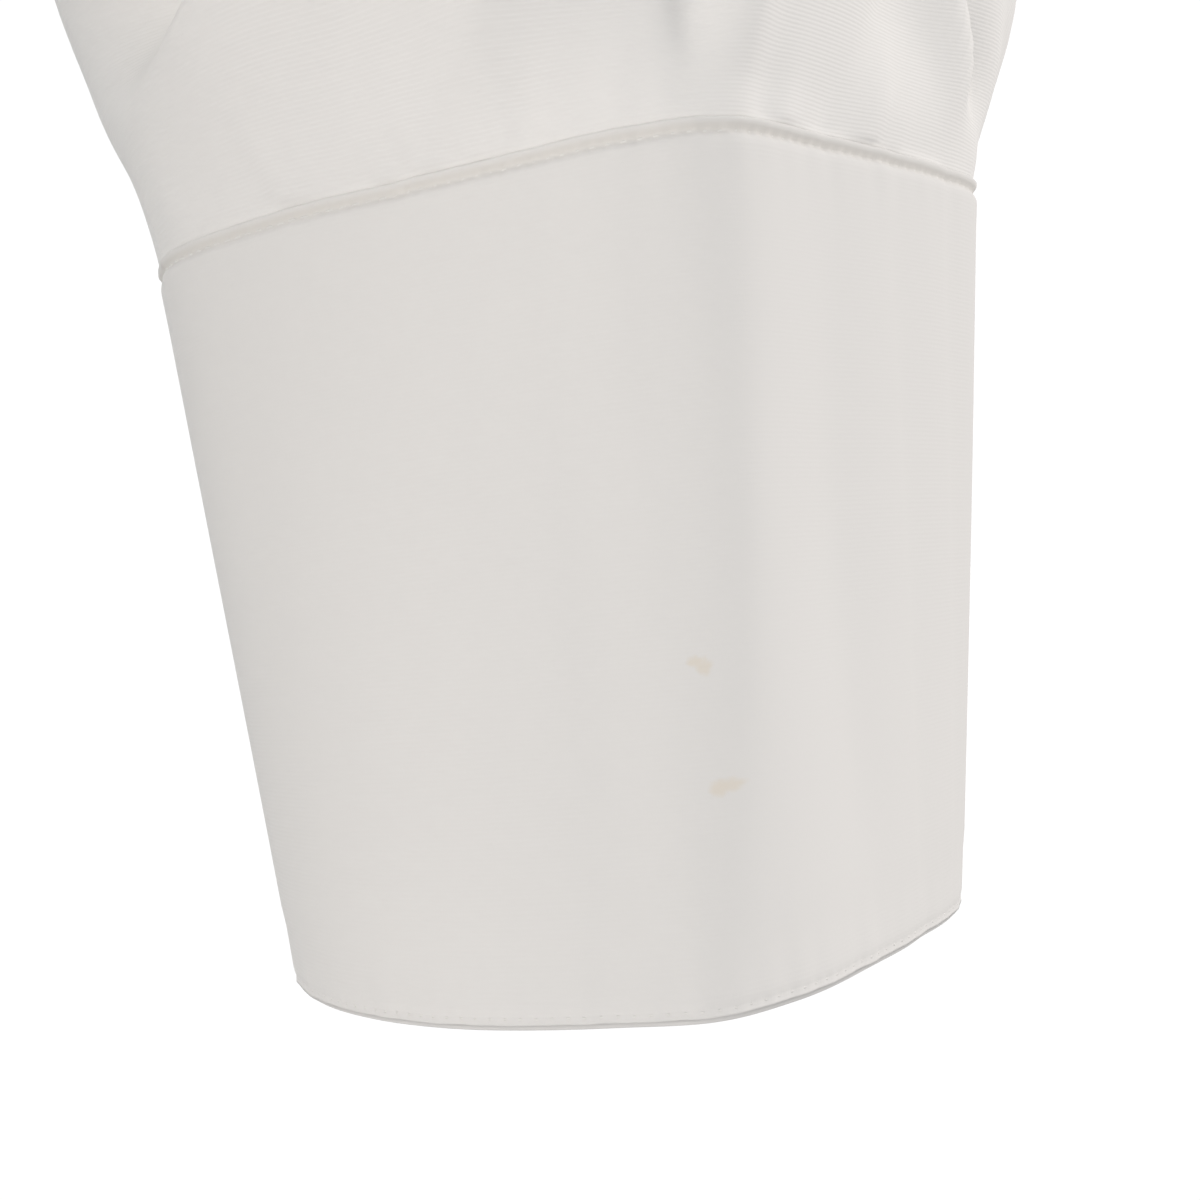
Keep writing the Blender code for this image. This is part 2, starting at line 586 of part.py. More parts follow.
def sleeve_turns(along):
    """The turn of each column on each row. Down the arm, the two columns next to the
    slit draw in to its edges, and the next two to the edges of the placket."""
    offset = np.arange(SLEEVE_COLUMNS) * SPACING - SLIT_TURN
    offset = np.remainder(offset + 180, 360) - 180
    drawn = smooth((along - PLACKET_PEAK / 3) / (PLACKET_PEAK * 0.6))
    radius = (arm_size("front", along) + arm_size("back", along)) / 2
    plain = (SPACING / 2, 1.5 * SPACING)
    narrow = [np.rad2deg(w / 2 / radius) for w in (SLIT_WIDTH, SLEEVE_PLACKET_WIDTH)]
    near, far = (p + drawn * (n - p) for p, n in zip(plain, narrow))
    turned = np.sign(offset) * np.interp(
        np.abs(offset), (0, *plain, 180), (0, near, far, 180)
    )
    return np.deg2rad(SLIT_TURN + turned)


def sleeve_grid(rows):
    turns = np.array([sleeve_turns(along) for along in rows])
    return turns, np.repeat(rows[:, None], SLEEVE_COLUMNS, axis=1)


def sleeve_wall(name, side):
    def shape(turn, along):
        return sleeve(turn, along, side)

    turn, along = sleeve_grid(SLEEVE_ROWS)
    skin, out = shape(turn, along), normals(shape, turn, along)
    out[0] = seam_normal(turn[0], side)
    before_slit = int(SLIT_TURN // SPACING)
    open_rows = np.flatnonzero(SLEEVE_ROWS[:-1] > SLIT_TOP - MM)
    slit = {(int(row), before_slit) for row in open_rows}
    inner = skin - CLOTH * out
    wall(name, skin * (side, 1, 1), inner * (side, 1, 1), ring=True, absent=slit)


def placket_columns(side):
    """The four columns of a sleeve placket on each of its rows, with its pointed top."""
    rows = SLEEVE_ROWS[SLEEVE_ROWS > PLACKET_PEAK - MM]
    turn, along = sleeve_grid(rows)
    before_slit = int(SLIT_TURN // SPACING)
    turn = turn[:, before_slit - 1 : before_slit + 3].copy()
    along = along[:, :4].copy()
    middle = np.deg2rad(SLIT_TURN)
    turn[0] = middle + (turn[0] - middle) * SLIT_WIDTH / SLEEVE_PLACKET_WIDTH
    along[-1] -= SEAM
    return turn, along


def sleeve_placket(name, side):
    def shape(turn, along):
        return sleeve(turn, along, side)

    turn, along = placket_columns(side)
    skin, out = shape(turn, along), normals(shape, turn, along)
    outer, inner = skin + (SEAM + BAND) * out, skin + SEAM * out
    wall(name, outer * (side, 1, 1), inner * (side, 1, 1))


# ---- Collar ----------------------------------------------------------------------------
STAND_LAP = float(angle_at_x(FRONT_LAP, NECK))
LEAF_START = np.deg2rad(LEAF[0].root_angle)
ROUND_NECK = np.linspace(-STAND_LAP, STAND_LAP - 2 * np.pi, 25)


def neck_seam(angle):
    """The neck seam, straight between the columns of the lapped fronts."""
    turned = np.remainder(angle + np.pi, 2 * np.pi) - np.pi
    share = np.clip(np.abs(turned) / STAND_LAP, 0, 1)[..., None]
    end = torso(np.copysign(np.maximum(np.abs(turned), STAND_LAP), turned), NECK)
    return end + (1 - share) * (torso(0.0, NECK) - end)


def neck_out(angle):
    """The level direction out from the neck seam."""
    across = np.sin(angle) / TORSO[-1].half_width
    depth = np.where(np.cos(angle) > 0, TORSO[-1].front, TORSO[-1].back)
    return unit(np.stack((across, -np.cos(angle) / depth, 0 * angle), axis=-1))


def stand_height(angle):
    """The stand's upright height: its width, made longer where the seam slopes."""
    width = STAND_FRONT + (STAND_BACK - STAND_FRONT) * (1 - np.cos(angle)) / 2
    step = np.deg2rad(1)
    seam = torso(angle + step, NECK) - torso(angle - step, NECK)
    level = np.linalg.norm(seam[..., :2], axis=-1)
    return width * np.linalg.norm(seam, axis=-1) / level


def stand_point(angle, rise, inset=0.0):
    """A point of the stand's outer face, rise metres above the neck seam."""
    inward = (STAND_LEAN * rise + inset)[..., None] * neck_out(angle)
    return neck_seam(angle) - inward + (rise + SEAM)[..., None] * np.array((0, 0, 1))


def stand_inset(angle):
    """The stand's right end goes under its left end. angle falls from the right end,
    past the centre front, round the back, and past the centre front again."""
    return (STIFF + SEAM) * smooth((angle + 2.6 * STAND_LAP) / (1.6 * STAND_LAP))


def collar_stand():
    corner = STAND_CORNER / TORSO[-1].half_width * (1 - np.cos(np.deg2rad((0, 30, 60, 90))))
    first, last = STAND_LAP, -2 * np.pi - STAND_LAP
    leaf_ends = (-LEAF_START, LEAF_START - 2 * np.pi)
    turns = np.sort(np.concatenate((first - corner, leaf_ends, ROUND_NECK, last + corner)))
    angle, share = np.meshgrid(turns, (0, 0.5, 1), indexing="xy")
    from_end = np.minimum(first - turns, turns - last) * TORSO[-1].half_width
    rise = share * (stand_height(angle) - rounded_end(from_end, STAND_CORNER))
    skin = stand_point(angle, rise, stand_inset(angle))
    cloth("collar_stand", skin, neck_out(angle), STIFF)


def leaf_value(name, angle):
    """A column of the leaf's table at an angle, the same on both sides."""
    at = np.abs(np.remainder(np.rad2deg(angle) + 180, 360) - 180)
    return through(column(LEAF, "root_angle"), column(LEAF, name), at)


def collar_leaf():
    """The leaf rises off the stand's upper edge, rolls over and falls to its edge, which
    lies just clear of the body and comes to a point each side of the front."""
    turns = np.concatenate(((-LEAF_START,), ROUND_NECK, (LEAF_START - 2 * np.pi,)))
    out, up = neck_out(turns), np.array((0, 0, 1.0))
    roll = leaf_value("roll", turns)
    height = stand_height(turns)
    base = stand_point(turns, height, stand_inset(turns) + STIFF / 2) + 1.5 * SEAM * up
    middle = base + roll[:, None] * out + LEAF_RISE * up
    lines = [base]
    for degrees in (180, 135, 90, 45, 0):
        spoke = np.deg2rad(degrees)
        lines.append(middle + roll[:, None] * (np.cos(spoke) * out + np.sin(spoke) * up))
    edge_angle = np.deg2rad(leaf_value("edge_angle", turns))
    side = np.where(np.sin(turns) > 0, 1, -1)
    place = side * edge_angle, leaf_value("edge_height", turns)
    edge = torso(*place) + (LEAF_CLEAR + STIFF / 2) * normals(torso, *place)
    for share in (0.25, 0.5, 0.75, 1):
        bow = 2.0 * MM * np.sin(np.pi * share) * out
        lines.append(lines[5] + share * (edge - lines[5]) + bow)
    grid = np.stack(lines)
    along, down = np.gradient(grid, axis=1), np.gradient(grid, axis=0)
    facing = unit(np.cross(along, down))
    wall("collar_leaf", grid + STIFF / 2 * facing, grid - STIFF / 2 * facing)


# ---- Buttons ---------------------------------------------------------------------------
def button_profile(radius):
    """Half of a button's section, from its axis over the rim to the axis below."""
    return (
        (0, 0.68 * BUTTON_DEPTH),
        (0.62 * radius, 0.68 * BUTTON_DEPTH),
        (0.80 * radius, BUTTON_DEPTH),
        (0.92 * radius, BUTTON_DEPTH),
        (radius, 0.70 * BUTTON_DEPTH),
        (0.86 * radius, 0.12 * BUTTON_DEPTH),
        (0.70 * radius, 0),
        (0, 0),
    )


def button(name, place, out, diameter):
    """A turned button with a raised rim, its back a seam's gap off the cloth."""
    profile = button_profile(diameter / 2)
    mesh = bpy.data.meshes.new(name)
    ends = [(i, i + 1) for i in range(len(profile) - 1)]
    mesh.from_pydata([(x, 0, z) for x, z in profile], ends, [])
    obj = add_object(name, mesh, pearl)
    turned = obj.modifiers.new("turned", "SCREW")
    turned.steps = turned.render_steps = 12
    turned.use_merge_vertices = True
    turned.merge_threshold = 0.00001
    obj.location = Vector(place + (SEAM + 0.1 * MM) * out)
    obj.rotation_mode = "QUATERNION"
    obj.rotation_quaternion = Vector(out).to_track_quat("Z", "Y")


def front_buttons():
    """One on the collar stand, then evenly down the placket."""
    rise = stand_height(np.zeros(1)) / 2
    on_stand = stand_point(np.zeros(1), rise)[0]
    button("button_collar", on_stand, np.array((0, -1.0, 0)), FRONT_BUTTON)
    heights = np.linspace(HEM, NECK, 400)
    centre_z = torso(np.zeros_like(heights), heights)[:, 2]
    for number in range(FRONT_BUTTONS):
        z = TORSO[-1].front_z - FIRST_BUTTON - number * BUTTON_SPACING
        height = np.interp(z, centre_z, heights)
        out = normals(torso, np.zeros(1), np.full(1, height))[0]
        place = torso(0.0, height) + (SEAM + BAND) * out
        button(f"button_front_{number + 1}", place, out, FRONT_BUTTON)


def sleeve_buttons(word, side):
    turn = np.array((np.deg2rad(SLIT_TURN),))
    out = round_forearm(turn)[0]
    place = cuff_skin(turn, np.full(1, 0.5))[0]
    button(f"button_cuff_{word}", place * (side, 1, 1), out * (side, 1, 1), FRONT_BUTTON)

    def shape(turn, along):
        return sleeve(turn, along, side)

    half_way = np.full(1, SLEEVE_END - SLIT_LENGTH * 0.55)
    out = normals(shape, turn, half_way)[0]
    place = shape(turn, half_way)[0] + (SEAM + BAND) * out
    button(f"button_sleeve_{word}", place * (side, 1, 1), out * (side, 1, 1), SMALL_BUTTON)


# ---- The shirt -------------------------------------------------------------------------
for old in list(bpy.data.objects):
    bpy.data.objects.remove(old, do_unlink=True)
parts = bpy.data.collections.new("dress_shirt")
bpy.context.scene.collection.children.link(parts)
cotton = new_material("white cotton poplin", (0.80, 0.78, 0.75), 0.85)
pearl = new_material("pearl button", (0.86, 0.85, 0.81), 0.25)

back_and_yoke()
front("front_left", 1)
front("front_right", -1)
front_placket()
collar_stand()
collar_leaf()
for word, side in (("left", 1), ("right", -1)):
    sleeve_wall(f"sleeve_{word}", side)
    sleeve_placket(f"sleeve_placket_{word}", side)
    cuff(f"cuff_{word}", side)
    sleeve_buttons(word, side)
front_buttons()
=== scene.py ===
# %% [markdown]
# # A long sleeve dress shirt, filled out as if worn
#
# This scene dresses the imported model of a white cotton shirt. The solids already have the
# garment's true hollow shape, so every cloth piece here is a thin shell on the same form,
# with finer creases, felled seams, edge stitching, buttonholes and buttons.
#
# The shirt faces -Y, the wearer's left is +X, and the origin is the middle of the neck.
# The camera looks at the plain side of the left cuff.

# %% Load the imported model
from collections import namedtuple

import bmesh
import bpy
import numpy as np
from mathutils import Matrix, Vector


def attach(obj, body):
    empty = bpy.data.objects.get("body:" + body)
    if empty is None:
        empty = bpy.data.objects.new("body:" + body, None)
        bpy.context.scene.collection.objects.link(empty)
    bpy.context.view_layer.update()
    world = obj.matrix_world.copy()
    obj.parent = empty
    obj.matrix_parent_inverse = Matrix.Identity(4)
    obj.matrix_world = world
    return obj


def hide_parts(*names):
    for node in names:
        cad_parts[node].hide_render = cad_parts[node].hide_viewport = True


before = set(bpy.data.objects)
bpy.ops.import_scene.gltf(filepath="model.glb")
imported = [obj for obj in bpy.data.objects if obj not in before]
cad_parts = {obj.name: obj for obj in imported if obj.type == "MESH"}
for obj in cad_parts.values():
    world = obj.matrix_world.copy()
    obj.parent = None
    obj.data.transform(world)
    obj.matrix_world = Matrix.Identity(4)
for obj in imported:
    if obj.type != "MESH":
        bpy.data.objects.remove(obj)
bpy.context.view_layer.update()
MM = 0.001
SIDES = {"left": 1, "right": -1}  # the wearer's, as the sign of x

# %% [markdown]
# ## Sizes
#
# Poplin is a quarter of a millimetre thick. One layer is drawn a little thicker than
# that, so that its edges can be rounded and still be seen. A cuff and a collar are two
# layers with an interlining, and a felled seam is four layers, about half a millimetre
# higher than the cloth beside it.

# %% Thicknesses and seams
CLOTH = 0.45 * MM
BAND = 0.9 * MM  # a placket strip
CUFF_THICK = 1.85 * MM
LEAF_THICK = 1.5 * MM
YOKE_LIFT = 0.35 * MM  # the yoke is two layers, and lies over the back and the fronts
YOKE_OVER = 1.2 * MM
FELL_WIDTH = 7.5 * MM  # a felled seam, or the hem
FELL_HEIGHT = 0.45 * MM
EDGE_STITCH = 1.3 * MM  # from an edge to its row of stitches

# %% [markdown]
# ## Curves through tables
#
# A garment's sections are few, and its surface is smooth between them. `through` joins a
# table's rows with cubic pieces whose slopes are the harmonic means of their neighbours',
# so the curve never swings past a row. All the shapes below read their sizes with it.

# %% Small tools for arrays of numbers
def through(knots, values, at):
    """A smooth curve through (knots, values) that never overshoots, read at `at`."""
    knots, values, at = (np.asarray(item, float) for item in (knots, values, at))
    step = np.diff(knots)
    slope = np.diff(values) / step
    product, total = slope[:-1] * slope[1:], slope[:-1] + slope[1:]
    turning = product <= 0
    inner = np.where(turning, 0, 2 * product / np.where(turning, 1, total))
    tangent = joined(slope[:1], inner, slope[-1:])
    i = np.clip(np.searchsorted(knots, at) - 1, 0, len(step) - 1)
    t = (at - knots[i]) / step[i]
    bend = t * (1 - t) ** 2 * tangent[i] + t * t * (t - 1) * tangent[i + 1]
    return values[i] + t * t * (3 - 2 * t) * (values[i + 1] - values[i]) + step[i] * bend


def column(table, name):
    return [getattr(row, name) for row in table]


def joined(*arrays, axis=0):
    return np.concatenate(arrays, axis=axis)


def smooth(t):
    """0 below 0, 1 above 1, and an even rise between."""
    t = np.clip(t, 0, 1)
    return t * t * (3 - 2 * t)


def unit(vectors):
    return vectors / np.linalg.norm(vectors, axis=-1, keepdims=True)


def bell(distance, width):
    """1 at distance 0, falling to a third at `width` either way."""
    return np.exp(-((distance / width) ** 2))


def signed(angle):
    """An angle in radians, brought between minus half a turn and half a turn."""
    return np.remainder(angle + np.pi, 2 * np.pi) - np.pi


def normals(shape, across, along, step=(0.01, 0.002)):
    """Outward unit normals of shape(across, along), from a small step each way."""
    side = shape(across + step[0], along) - shape(across - step[0], along)
    down = shape(across, along + step[1]) - shape(across, along - step[1])
    return unit(np.cross(side, down))


# %% [markdown]
# ## Folds and creases
#
# Soft folds are bell-shaped ridges and troughs. Cotton also breaks into sharper lines
# where a sleeve bends or a seam holds it, so a crease has a narrow crest with long flanks
# and may curve. Each is one row of a table, in degrees round the body or the arm and
# millimetres along it. No two are alike, and both sides of the shirt have their own.
#
# The cloth between them isn't flat either: washing leaves a faint cockle. That is a sum of
# plane waves in space, so it runs on over every seam.

# %% Folds, creases and cockle
Fold = namedtuple("Fold", "angle place lie length width depth")
Crease = namedtuple("Crease", "angle place lie length width depth bend", defaults=(0,))


def rows_of(kind, *rows):
    """A table of folds or creases: degrees, with place, length, width and depth in mm."""
    return tuple(
        kind(angle, MM * place, lie, MM * length, MM * width, MM * depth, *bend)
        for angle, place, lie, length, width, depth, *bend in rows
    )


def beside(row, angle, place, radius):
    """(lengthways, sideways) distances from a fold's or crease's middle, in metres."""
    around = radius * signed(angle - np.deg2rad(row.angle))
    down = place - row.place
    lie = np.deg2rad(row.lie)
    return down * np.cos(lie) + around * np.sin(lie), around * np.cos(lie) - down * np.sin(lie)


def fold_height(folds, angle, place, radius):
    """Sum of bells: each falls off lengthways and sideways from the fold's middle."""
    height = np.zeros(np.broadcast(angle, place).shape)
    for fold in folds:
        lengthways, sideways = beside(fold, angle, place, radius)
        height += fold.depth * bell(lengthways, fold.length) * bell(sideways, fold.width)
    return height


def crease_height(creases, angle, place, radius, crest=0.3):
    """Like a fold, but the profile is exp(crest - sqrt(s*s + crest*crest)), with s the
    distance from the crease's line in widths. bend curves the line, in 1/m."""
    height = np.zeros(np.broadcast(angle, place).shape)
    for crease in creases:
        lengthways, sideways = beside(crease, angle, place, radius)
        s = (sideways - crease.bend * lengthways**2) / crease.width
        profile = np.exp(crest - np.sqrt(s * s + crest * crest))
        height += crease.depth * bell(lengthways, crease.length) * profile
    return height


rng = np.random.default_rng(7)
WAVES = 26
wave_way = unit(rng.normal(size=(WAVES, 3)))
wave_length = rng.uniform(14, 60, WAVES) * MM
wave_phase = rng.uniform(0, 2 * np.pi, WAVES)


def cockle(points, height):
    """Plane waves of unlike length, way and phase, each as high as it is long."""
    lift = np.zeros(points.shape[:-1])
    for way, length, phase in zip(wave_way, wave_length, wave_phase):
        lift += length * np.sin(2 * np.pi * (points @ way) / length + phase)
    return height * lift / (wave_length.mean() * np.sqrt(WAVES))


# %% [markdown]
# ## From a grid of points to cloth
#
# A piece of cloth is a grid of points: its outer face. `shell` adds the inner face behind
# it, a rounded rim round every open edge, and a UV map in metres of cloth, so that one
# weave pattern has the right size on every piece. The map's U runs round the piece and
# its V runs along it.

# %% Lengths, normals and a mesh
def along_grid(points, axis):
    """Metres of cloth from the grid's first row or column to each of its points."""
    step = np.linalg.norm(np.diff(points, axis=axis), axis=-1)
    start = np.zeros_like(np.take(step, [0], axis=axis))
    return joined(start, np.cumsum(step, axis=axis), axis=axis)


def grid_normals(points, ring=False):
    """Unit normals of a grid, from the cross product of its two directions."""
    if ring:
        across = np.roll(points, -1, axis=1) - np.roll(points, 1, axis=1)
    else:
        across = np.gradient(points, axis=1)
    return unit(np.cross(across, np.gradient(points, axis=0)))


def add_mesh(name, points, faces, corner_uv, material, smooth_faces=True):
    """An object from points, faces and one UV pair for each corner of each face."""
    mesh = bpy.data.meshes.new(name)
    mesh.from_pydata(points.tolist(), [], faces)
    if corner_uv is not None:
        layer = mesh.uv_layers.new(name="cloth")
        layer.data.foreach_set("uv", np.asarray(corner_uv, np.float32).reshape(-1))
    mesh.polygons.foreach_set("use_smooth", np.full(len(mesh.polygons), smooth_faces))
    mesh.materials.append(material)
    mesh.update()
    obj = bpy.data.objects.new(name, mesh)
    bpy.context.scene.collection.objects.link(obj)
    return obj


# %% Turn a grid into a closed shell
def shell(name, outer, material, thickness=CLOTH, ring=False, absent=None):
    """Cloth between the grid `outer` and the same grid moved in by `thickness`, which may
    differ from point to point. absent is a mask of grid cells that are left open. Round
    a ring, V is the row's mean, so the weft stays level with the rows."""
    rows, columns = outer.shape[:2]
    count = rows * columns
    thickness = np.broadcast_to(thickness, outer.shape[:2])[..., None]
    inner = outer - thickness * grid_normals(outer, ring)
    present = np.ones((rows - 1, columns if ring else columns - 1), bool)
    if absent is not None:
        present &= ~absent
    r, c = np.nonzero(present)
    right = (c + 1) % columns
    corners = ((r, c), (r, right), (r + 1, right), (r + 1, c))
    quads = np.stack([row * columns + across for row, across in corners], axis=1)

    closed = joined(outer, outer[:, :1], axis=1) if ring else outer
    u, v = along_grid(closed, 1), along_grid(closed, 0)
    if ring:
        v = np.repeat(v.mean(axis=1, keepdims=True), v.shape[1], axis=1)
    flat = np.stack((u, v), axis=-1)
    outer_uv = np.stack([flat[r, c], flat[r, c + 1], flat[r + 1, c + 1], flat[r + 1, c]], axis=1)

    sides = np.concatenate([quads[:, [i, (i + 1) % 4]] for i in range(4)])
    side_uv = np.concatenate([outer_uv[:, [i, (i + 1) % 4]] for i in range(4)])
    key, back = sides[:, 0] * count + sides[:, 1], sides[:, 1] * count + sides[:, 0]
    on_edge = ~np.isin(key, back)
    rim, rim_uv = sides[on_edge], side_uv[on_edge]

    out_flat, in_flat = outer.reshape(-1, 3), inner.reshape(-1, 3)
    facing = (out_flat - in_flat)[rim].mean(axis=1)
    outward = np.cross(out_flat[rim[:, 1]] - out_flat[rim[:, 0]], facing)
    push = np.zeros((count, 3))
    for end in (0, 1):
        np.add.at(push, rim[:, end], outward)
    on_rim = np.unique(rim)
    half = thickness.reshape(-1, 1)[on_rim] / 2
    middle = (out_flat + in_flat)[on_rim] / 2 + half * unit(push[on_rim])
    place = np.zeros(count, int)
    place[on_rim] = 2 * count + np.arange(len(on_rim))

    a, b = rim[:, 0], rim[:, 1]
    faces = joined(
        quads,
        quads[:, ::-1] + count,
        np.stack((b, a, place[a], place[b]), axis=1),
        np.stack((place[b], place[a], a + count, b + count), axis=1),
    )
    edge_uv = rim_uv[:, [1, 0, 0, 1]]
    uv = joined(outer_uv, outer_uv[:, ::-1], edge_uv, edge_uv)
    points = joined(out_flat, in_flat, middle)
    return add_mesh(f"{name}_cloth", points, faces.tolist(), uv, material)


# %% Mirror a grid, and declare a piece
def on_side(side, *arrays):
    """Points or directions of the left side, as they are or mirrored for the right."""
    return tuple(array * (side, 1, 1) for array in arrays)


def mirrored(points, side):
    """A left grid as it is, or its mirror image for the right. Columns are reversed with
    it, so that the faces still point out."""
    return (points * (side, 1, 1))[:, ::side]


def declare(obj, node=None):
    """Rides a finished piece on the one body. node is the solid that it stands for."""
    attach(obj, "root")
    if node:
        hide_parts(node)
    return obj


# %% [markdown]
# ## The body
#
# The trunk is a loft: fifteen rounded sections from the hem to the neck seam. Each dips
# at the front and back, most at the hem, which gives the shirt its curved tails. Panels
# are cut from this one form along the side seams, the armholes and the yoke.

# %% Body sections
Section = namedtuple(
    "Section", "side_z half_width front back side_y squareness front_z back_z dip"
)
HEM, UNDERARM, SHOULDER, NECK = -0.700, -0.265, -0.048, 0.000
TORSO = tuple(map(Section._make, (
    (HEM, 0.217, 0.119, 0.122, 0, 2.15, -0.748, -0.765, 4.0),
    (-0.610, 0.213, 0.121, 0.121, 0, 2.15, -0.632, -0.640, 3.5),  # hip
    (-0.520, 0.207, 0.121, 0.112, 0, 2.15, -0.530, -0.530, 2.5),
    (-0.430, 0.202, 0.119, 0.104, 0, 2.15, -0.433, -0.433, 2.0),  # waist
    (-0.345, 0.206, 0.121, 0.110, 0, 2.20, -0.345, -0.345, 2.0),
    (UNDERARM, 0.213, 0.124, 0.120, 0, 2.30, -0.265, -0.265, 2.0),
    (-0.200, 0.218, 0.120, 0.125, -0.003, 2.40, -0.206, -0.200, 2.0),
    (-0.130, 0.222, 0.106, 0.121, -0.009, 2.35, -0.148, -0.133, 2.0),
    (-0.080, 0.2235, 0.089, 0.108, -0.015, 2.25, -0.118, -0.086, 2.0),
    (-0.058, 0.2205, 0.082, 0.098, -0.017, 2.15, -0.107, -0.067, 2.0),
    (SHOULDER, 0.2145, 0.079, 0.092, -0.018, 2.05, -0.101, -0.058, 2.0),
    (-0.040, 0.1980, 0.076, 0.086, -0.017, 2.00, -0.096, -0.049, 2.0),
    (-0.028, 0.1580, 0.0715, 0.077, -0.013, 2.00, -0.0895, -0.0365, 2.0),
    (-0.014, 0.1080, 0.0655, 0.065, -0.006, 2.00, -0.0800, -0.0190, 2.0),
    (NECK, 0.0620, 0.0580, 0.052, 0, 2.00, -0.0700, 0.0020, 2.0),
)))
BODY_RADIUS = 0.170  # turns a fold's angle into a width

# %% The body's folds and creases
BODY_FOLDS = rows_of(
    Fold,
    # from the left armhole to the chest
    (50, -280, 30, 85, 20, -8), (64, -345, 24, 85, 22, 7),
    # below the waist
    (40, -505, -4, 120, 26, 9.5), (62, -560, 6, 130, 22, -8.5),
    # the tail
    (24, -690, 0, 75, 26, 7),
    # side waist
    (80, -440, 76, 55, 20, -6),
    # from the right armhole
    (-48, -290, -26, 80, 20, -7.5), (-67, -360, -20, 85, 22, 7.5), (-37, -525, 5, 110, 26, 8.5),
    (-60, -575, -8, 120, 22, -8), (-27, -700, 0, 65, 26, 6.5), (-83, -425, -74, 55, 20, -6),
    # from the armholes to the back
    (122, -255, -28, 90, 22, -8), (238, -245, 26, 85, 22, -7.5),
    # down the back
    (146, -470, 5, 150, 26, 10), (173, -525, -3, 130, 24, -8), (206, -480, -5, 150, 26, 9.5),
    (118, -565, 8, 120, 22, -8), (237, -590, -7, 120, 22, -7.5), (160, -715, 0, 70, 26, 6.5),
    (195, -705, 0, 65, 24, -6),
)
BODY_CREASES = rows_of(
    Crease,
    # under the left armhole
    (70, -255, 38, 60, 5.5, 2.6, 1.5), (58, -232, 46, 50, 5, -2.2, -1),
    (76, -312, 30, 70, 6, 2.4, 0.8), (46, -325, 34, 60, 5, -1.8, 1.2),
    # and the right one
    (-72, -262, -40, 60, 5.5, 2.5, -1.2), (-55, -240, -44, 55, 5, -2.2, 0.9),
    (-62, -322, -33, 75, 6, 2.6, -0.7), (-44, -352, -28, 50, 4.5, -1.6, 1),
    # across the waist
    (84, -405, 68, 50, 5.5, 2.6, 2.2), (72, -452, 74, 45, 5, -2.4, -2),
    (93, -478, 80, 55, 6, 2.4, 1.4), (58, -430, 62, 40, 4.5, 1.8, 1.1),
    (-80, -398, -70, 50, 5.5, 2.4, -2), (-70, -444, -76, 50, 5, -2.2, 1.8),
    (-92, -470, -82, 50, 6, 2.6, -1.2), (-55, -421, -60, 38, 4.5, 1.6, -1.4),
    # hanging from the waist
    (33, -560, 6, 90, 6, 2.6, 0.4), (52, -610, -5, 80, 6, -2.4, -0.3),
    (16, -640, 3, 60, 5.5, 1.8, 0.5), (74, -620, 8, 70, 6, 2.4, -0.5),
    (-30, -585, -6, 85, 6, 2.6, -0.4), (-50, -630, 4, 75, 5.5, -2.2, 0.4),
    (-18, -655, -2, 55, 5.5, 1.6, -0.3), (-72, -600, -9, 75, 6, 2.4, 0.4),
    # over the chest
    (22, -190, 52, 50, 6, 1.4, 1), (-24, -200, -50, 48, 6, 1.4, -1.2),
    (27, -140, 30, 40, 5, -1, 0.8), (-30, -150, -34, 42, 5, -1, -0.8),
    # pulled to the buttons
    (10, -300, 72, 40, 4, 1.2, 2), (-12, -304, -70, 42, 4, 1.2, -2.2),
    (12, -392, 64, 42, 4.2, 1.2, 1.8), (-11, -478, -68, 38, 4, 1.2, -1.6),
    # from the armholes, behind
    (113, -280, -40, 65, 6, 2.6, -1.2), (128, -222, -46, 55, 5.5, 2.2, 1),
    (106, -330, -30, 60, 5.5, -2, 0.8), (246, -276, 38, 65, 6, 2.6, 1.1),
    (232, -214, 44, 55, 5.5, 2.2, -0.9), (254, -336, 28, 60, 5.5, -2, -0.8),
    # the small of the back
    (138, -400, 22, 80, 6, 2.6, 0.9), (222, -410, -20, 80, 6, 2.6, -0.8),
    (158, -380, 58, 45, 5.5, -1.8, 1.6), (200, -372, -62, 48, 5.5, -1.8, -1.5),
    (180, -440, 86, 50, 6, 2, 1), (152, -600, 5, 90, 6.5, 2.6, 0.4),
    (184, -630, -4, 80, 6.5, 2.4, -0.3), (214, -610, -6, 85, 6.5, 2.6, 0.3),
    (128, -640, 7, 70, 6, -2.2, 0.4), (170, -560, 3, 70, 6, -1.8, -0.4),
    (236, -640, -6, 70, 6, 2.2, -0.4),
    # below the yoke
    (168, -160, 8, 50, 6.5, 1.4, 0.6), (192, -170, -6, 50, 6.5, 1.3, -0.5),
)

# %% The body's outer face
def body_size(name, height):
    return through(column(TORSO, "side_z"), column(TORSO, name), height)


def body_depth(height, facing):
    """How far a section reaches from its widest points, forward where it faces front."""
    forward = body_size("front", height) + body_size("side_y", height)
    return np.where(facing, forward, body_size("back", height) - body_size("side_y", height))


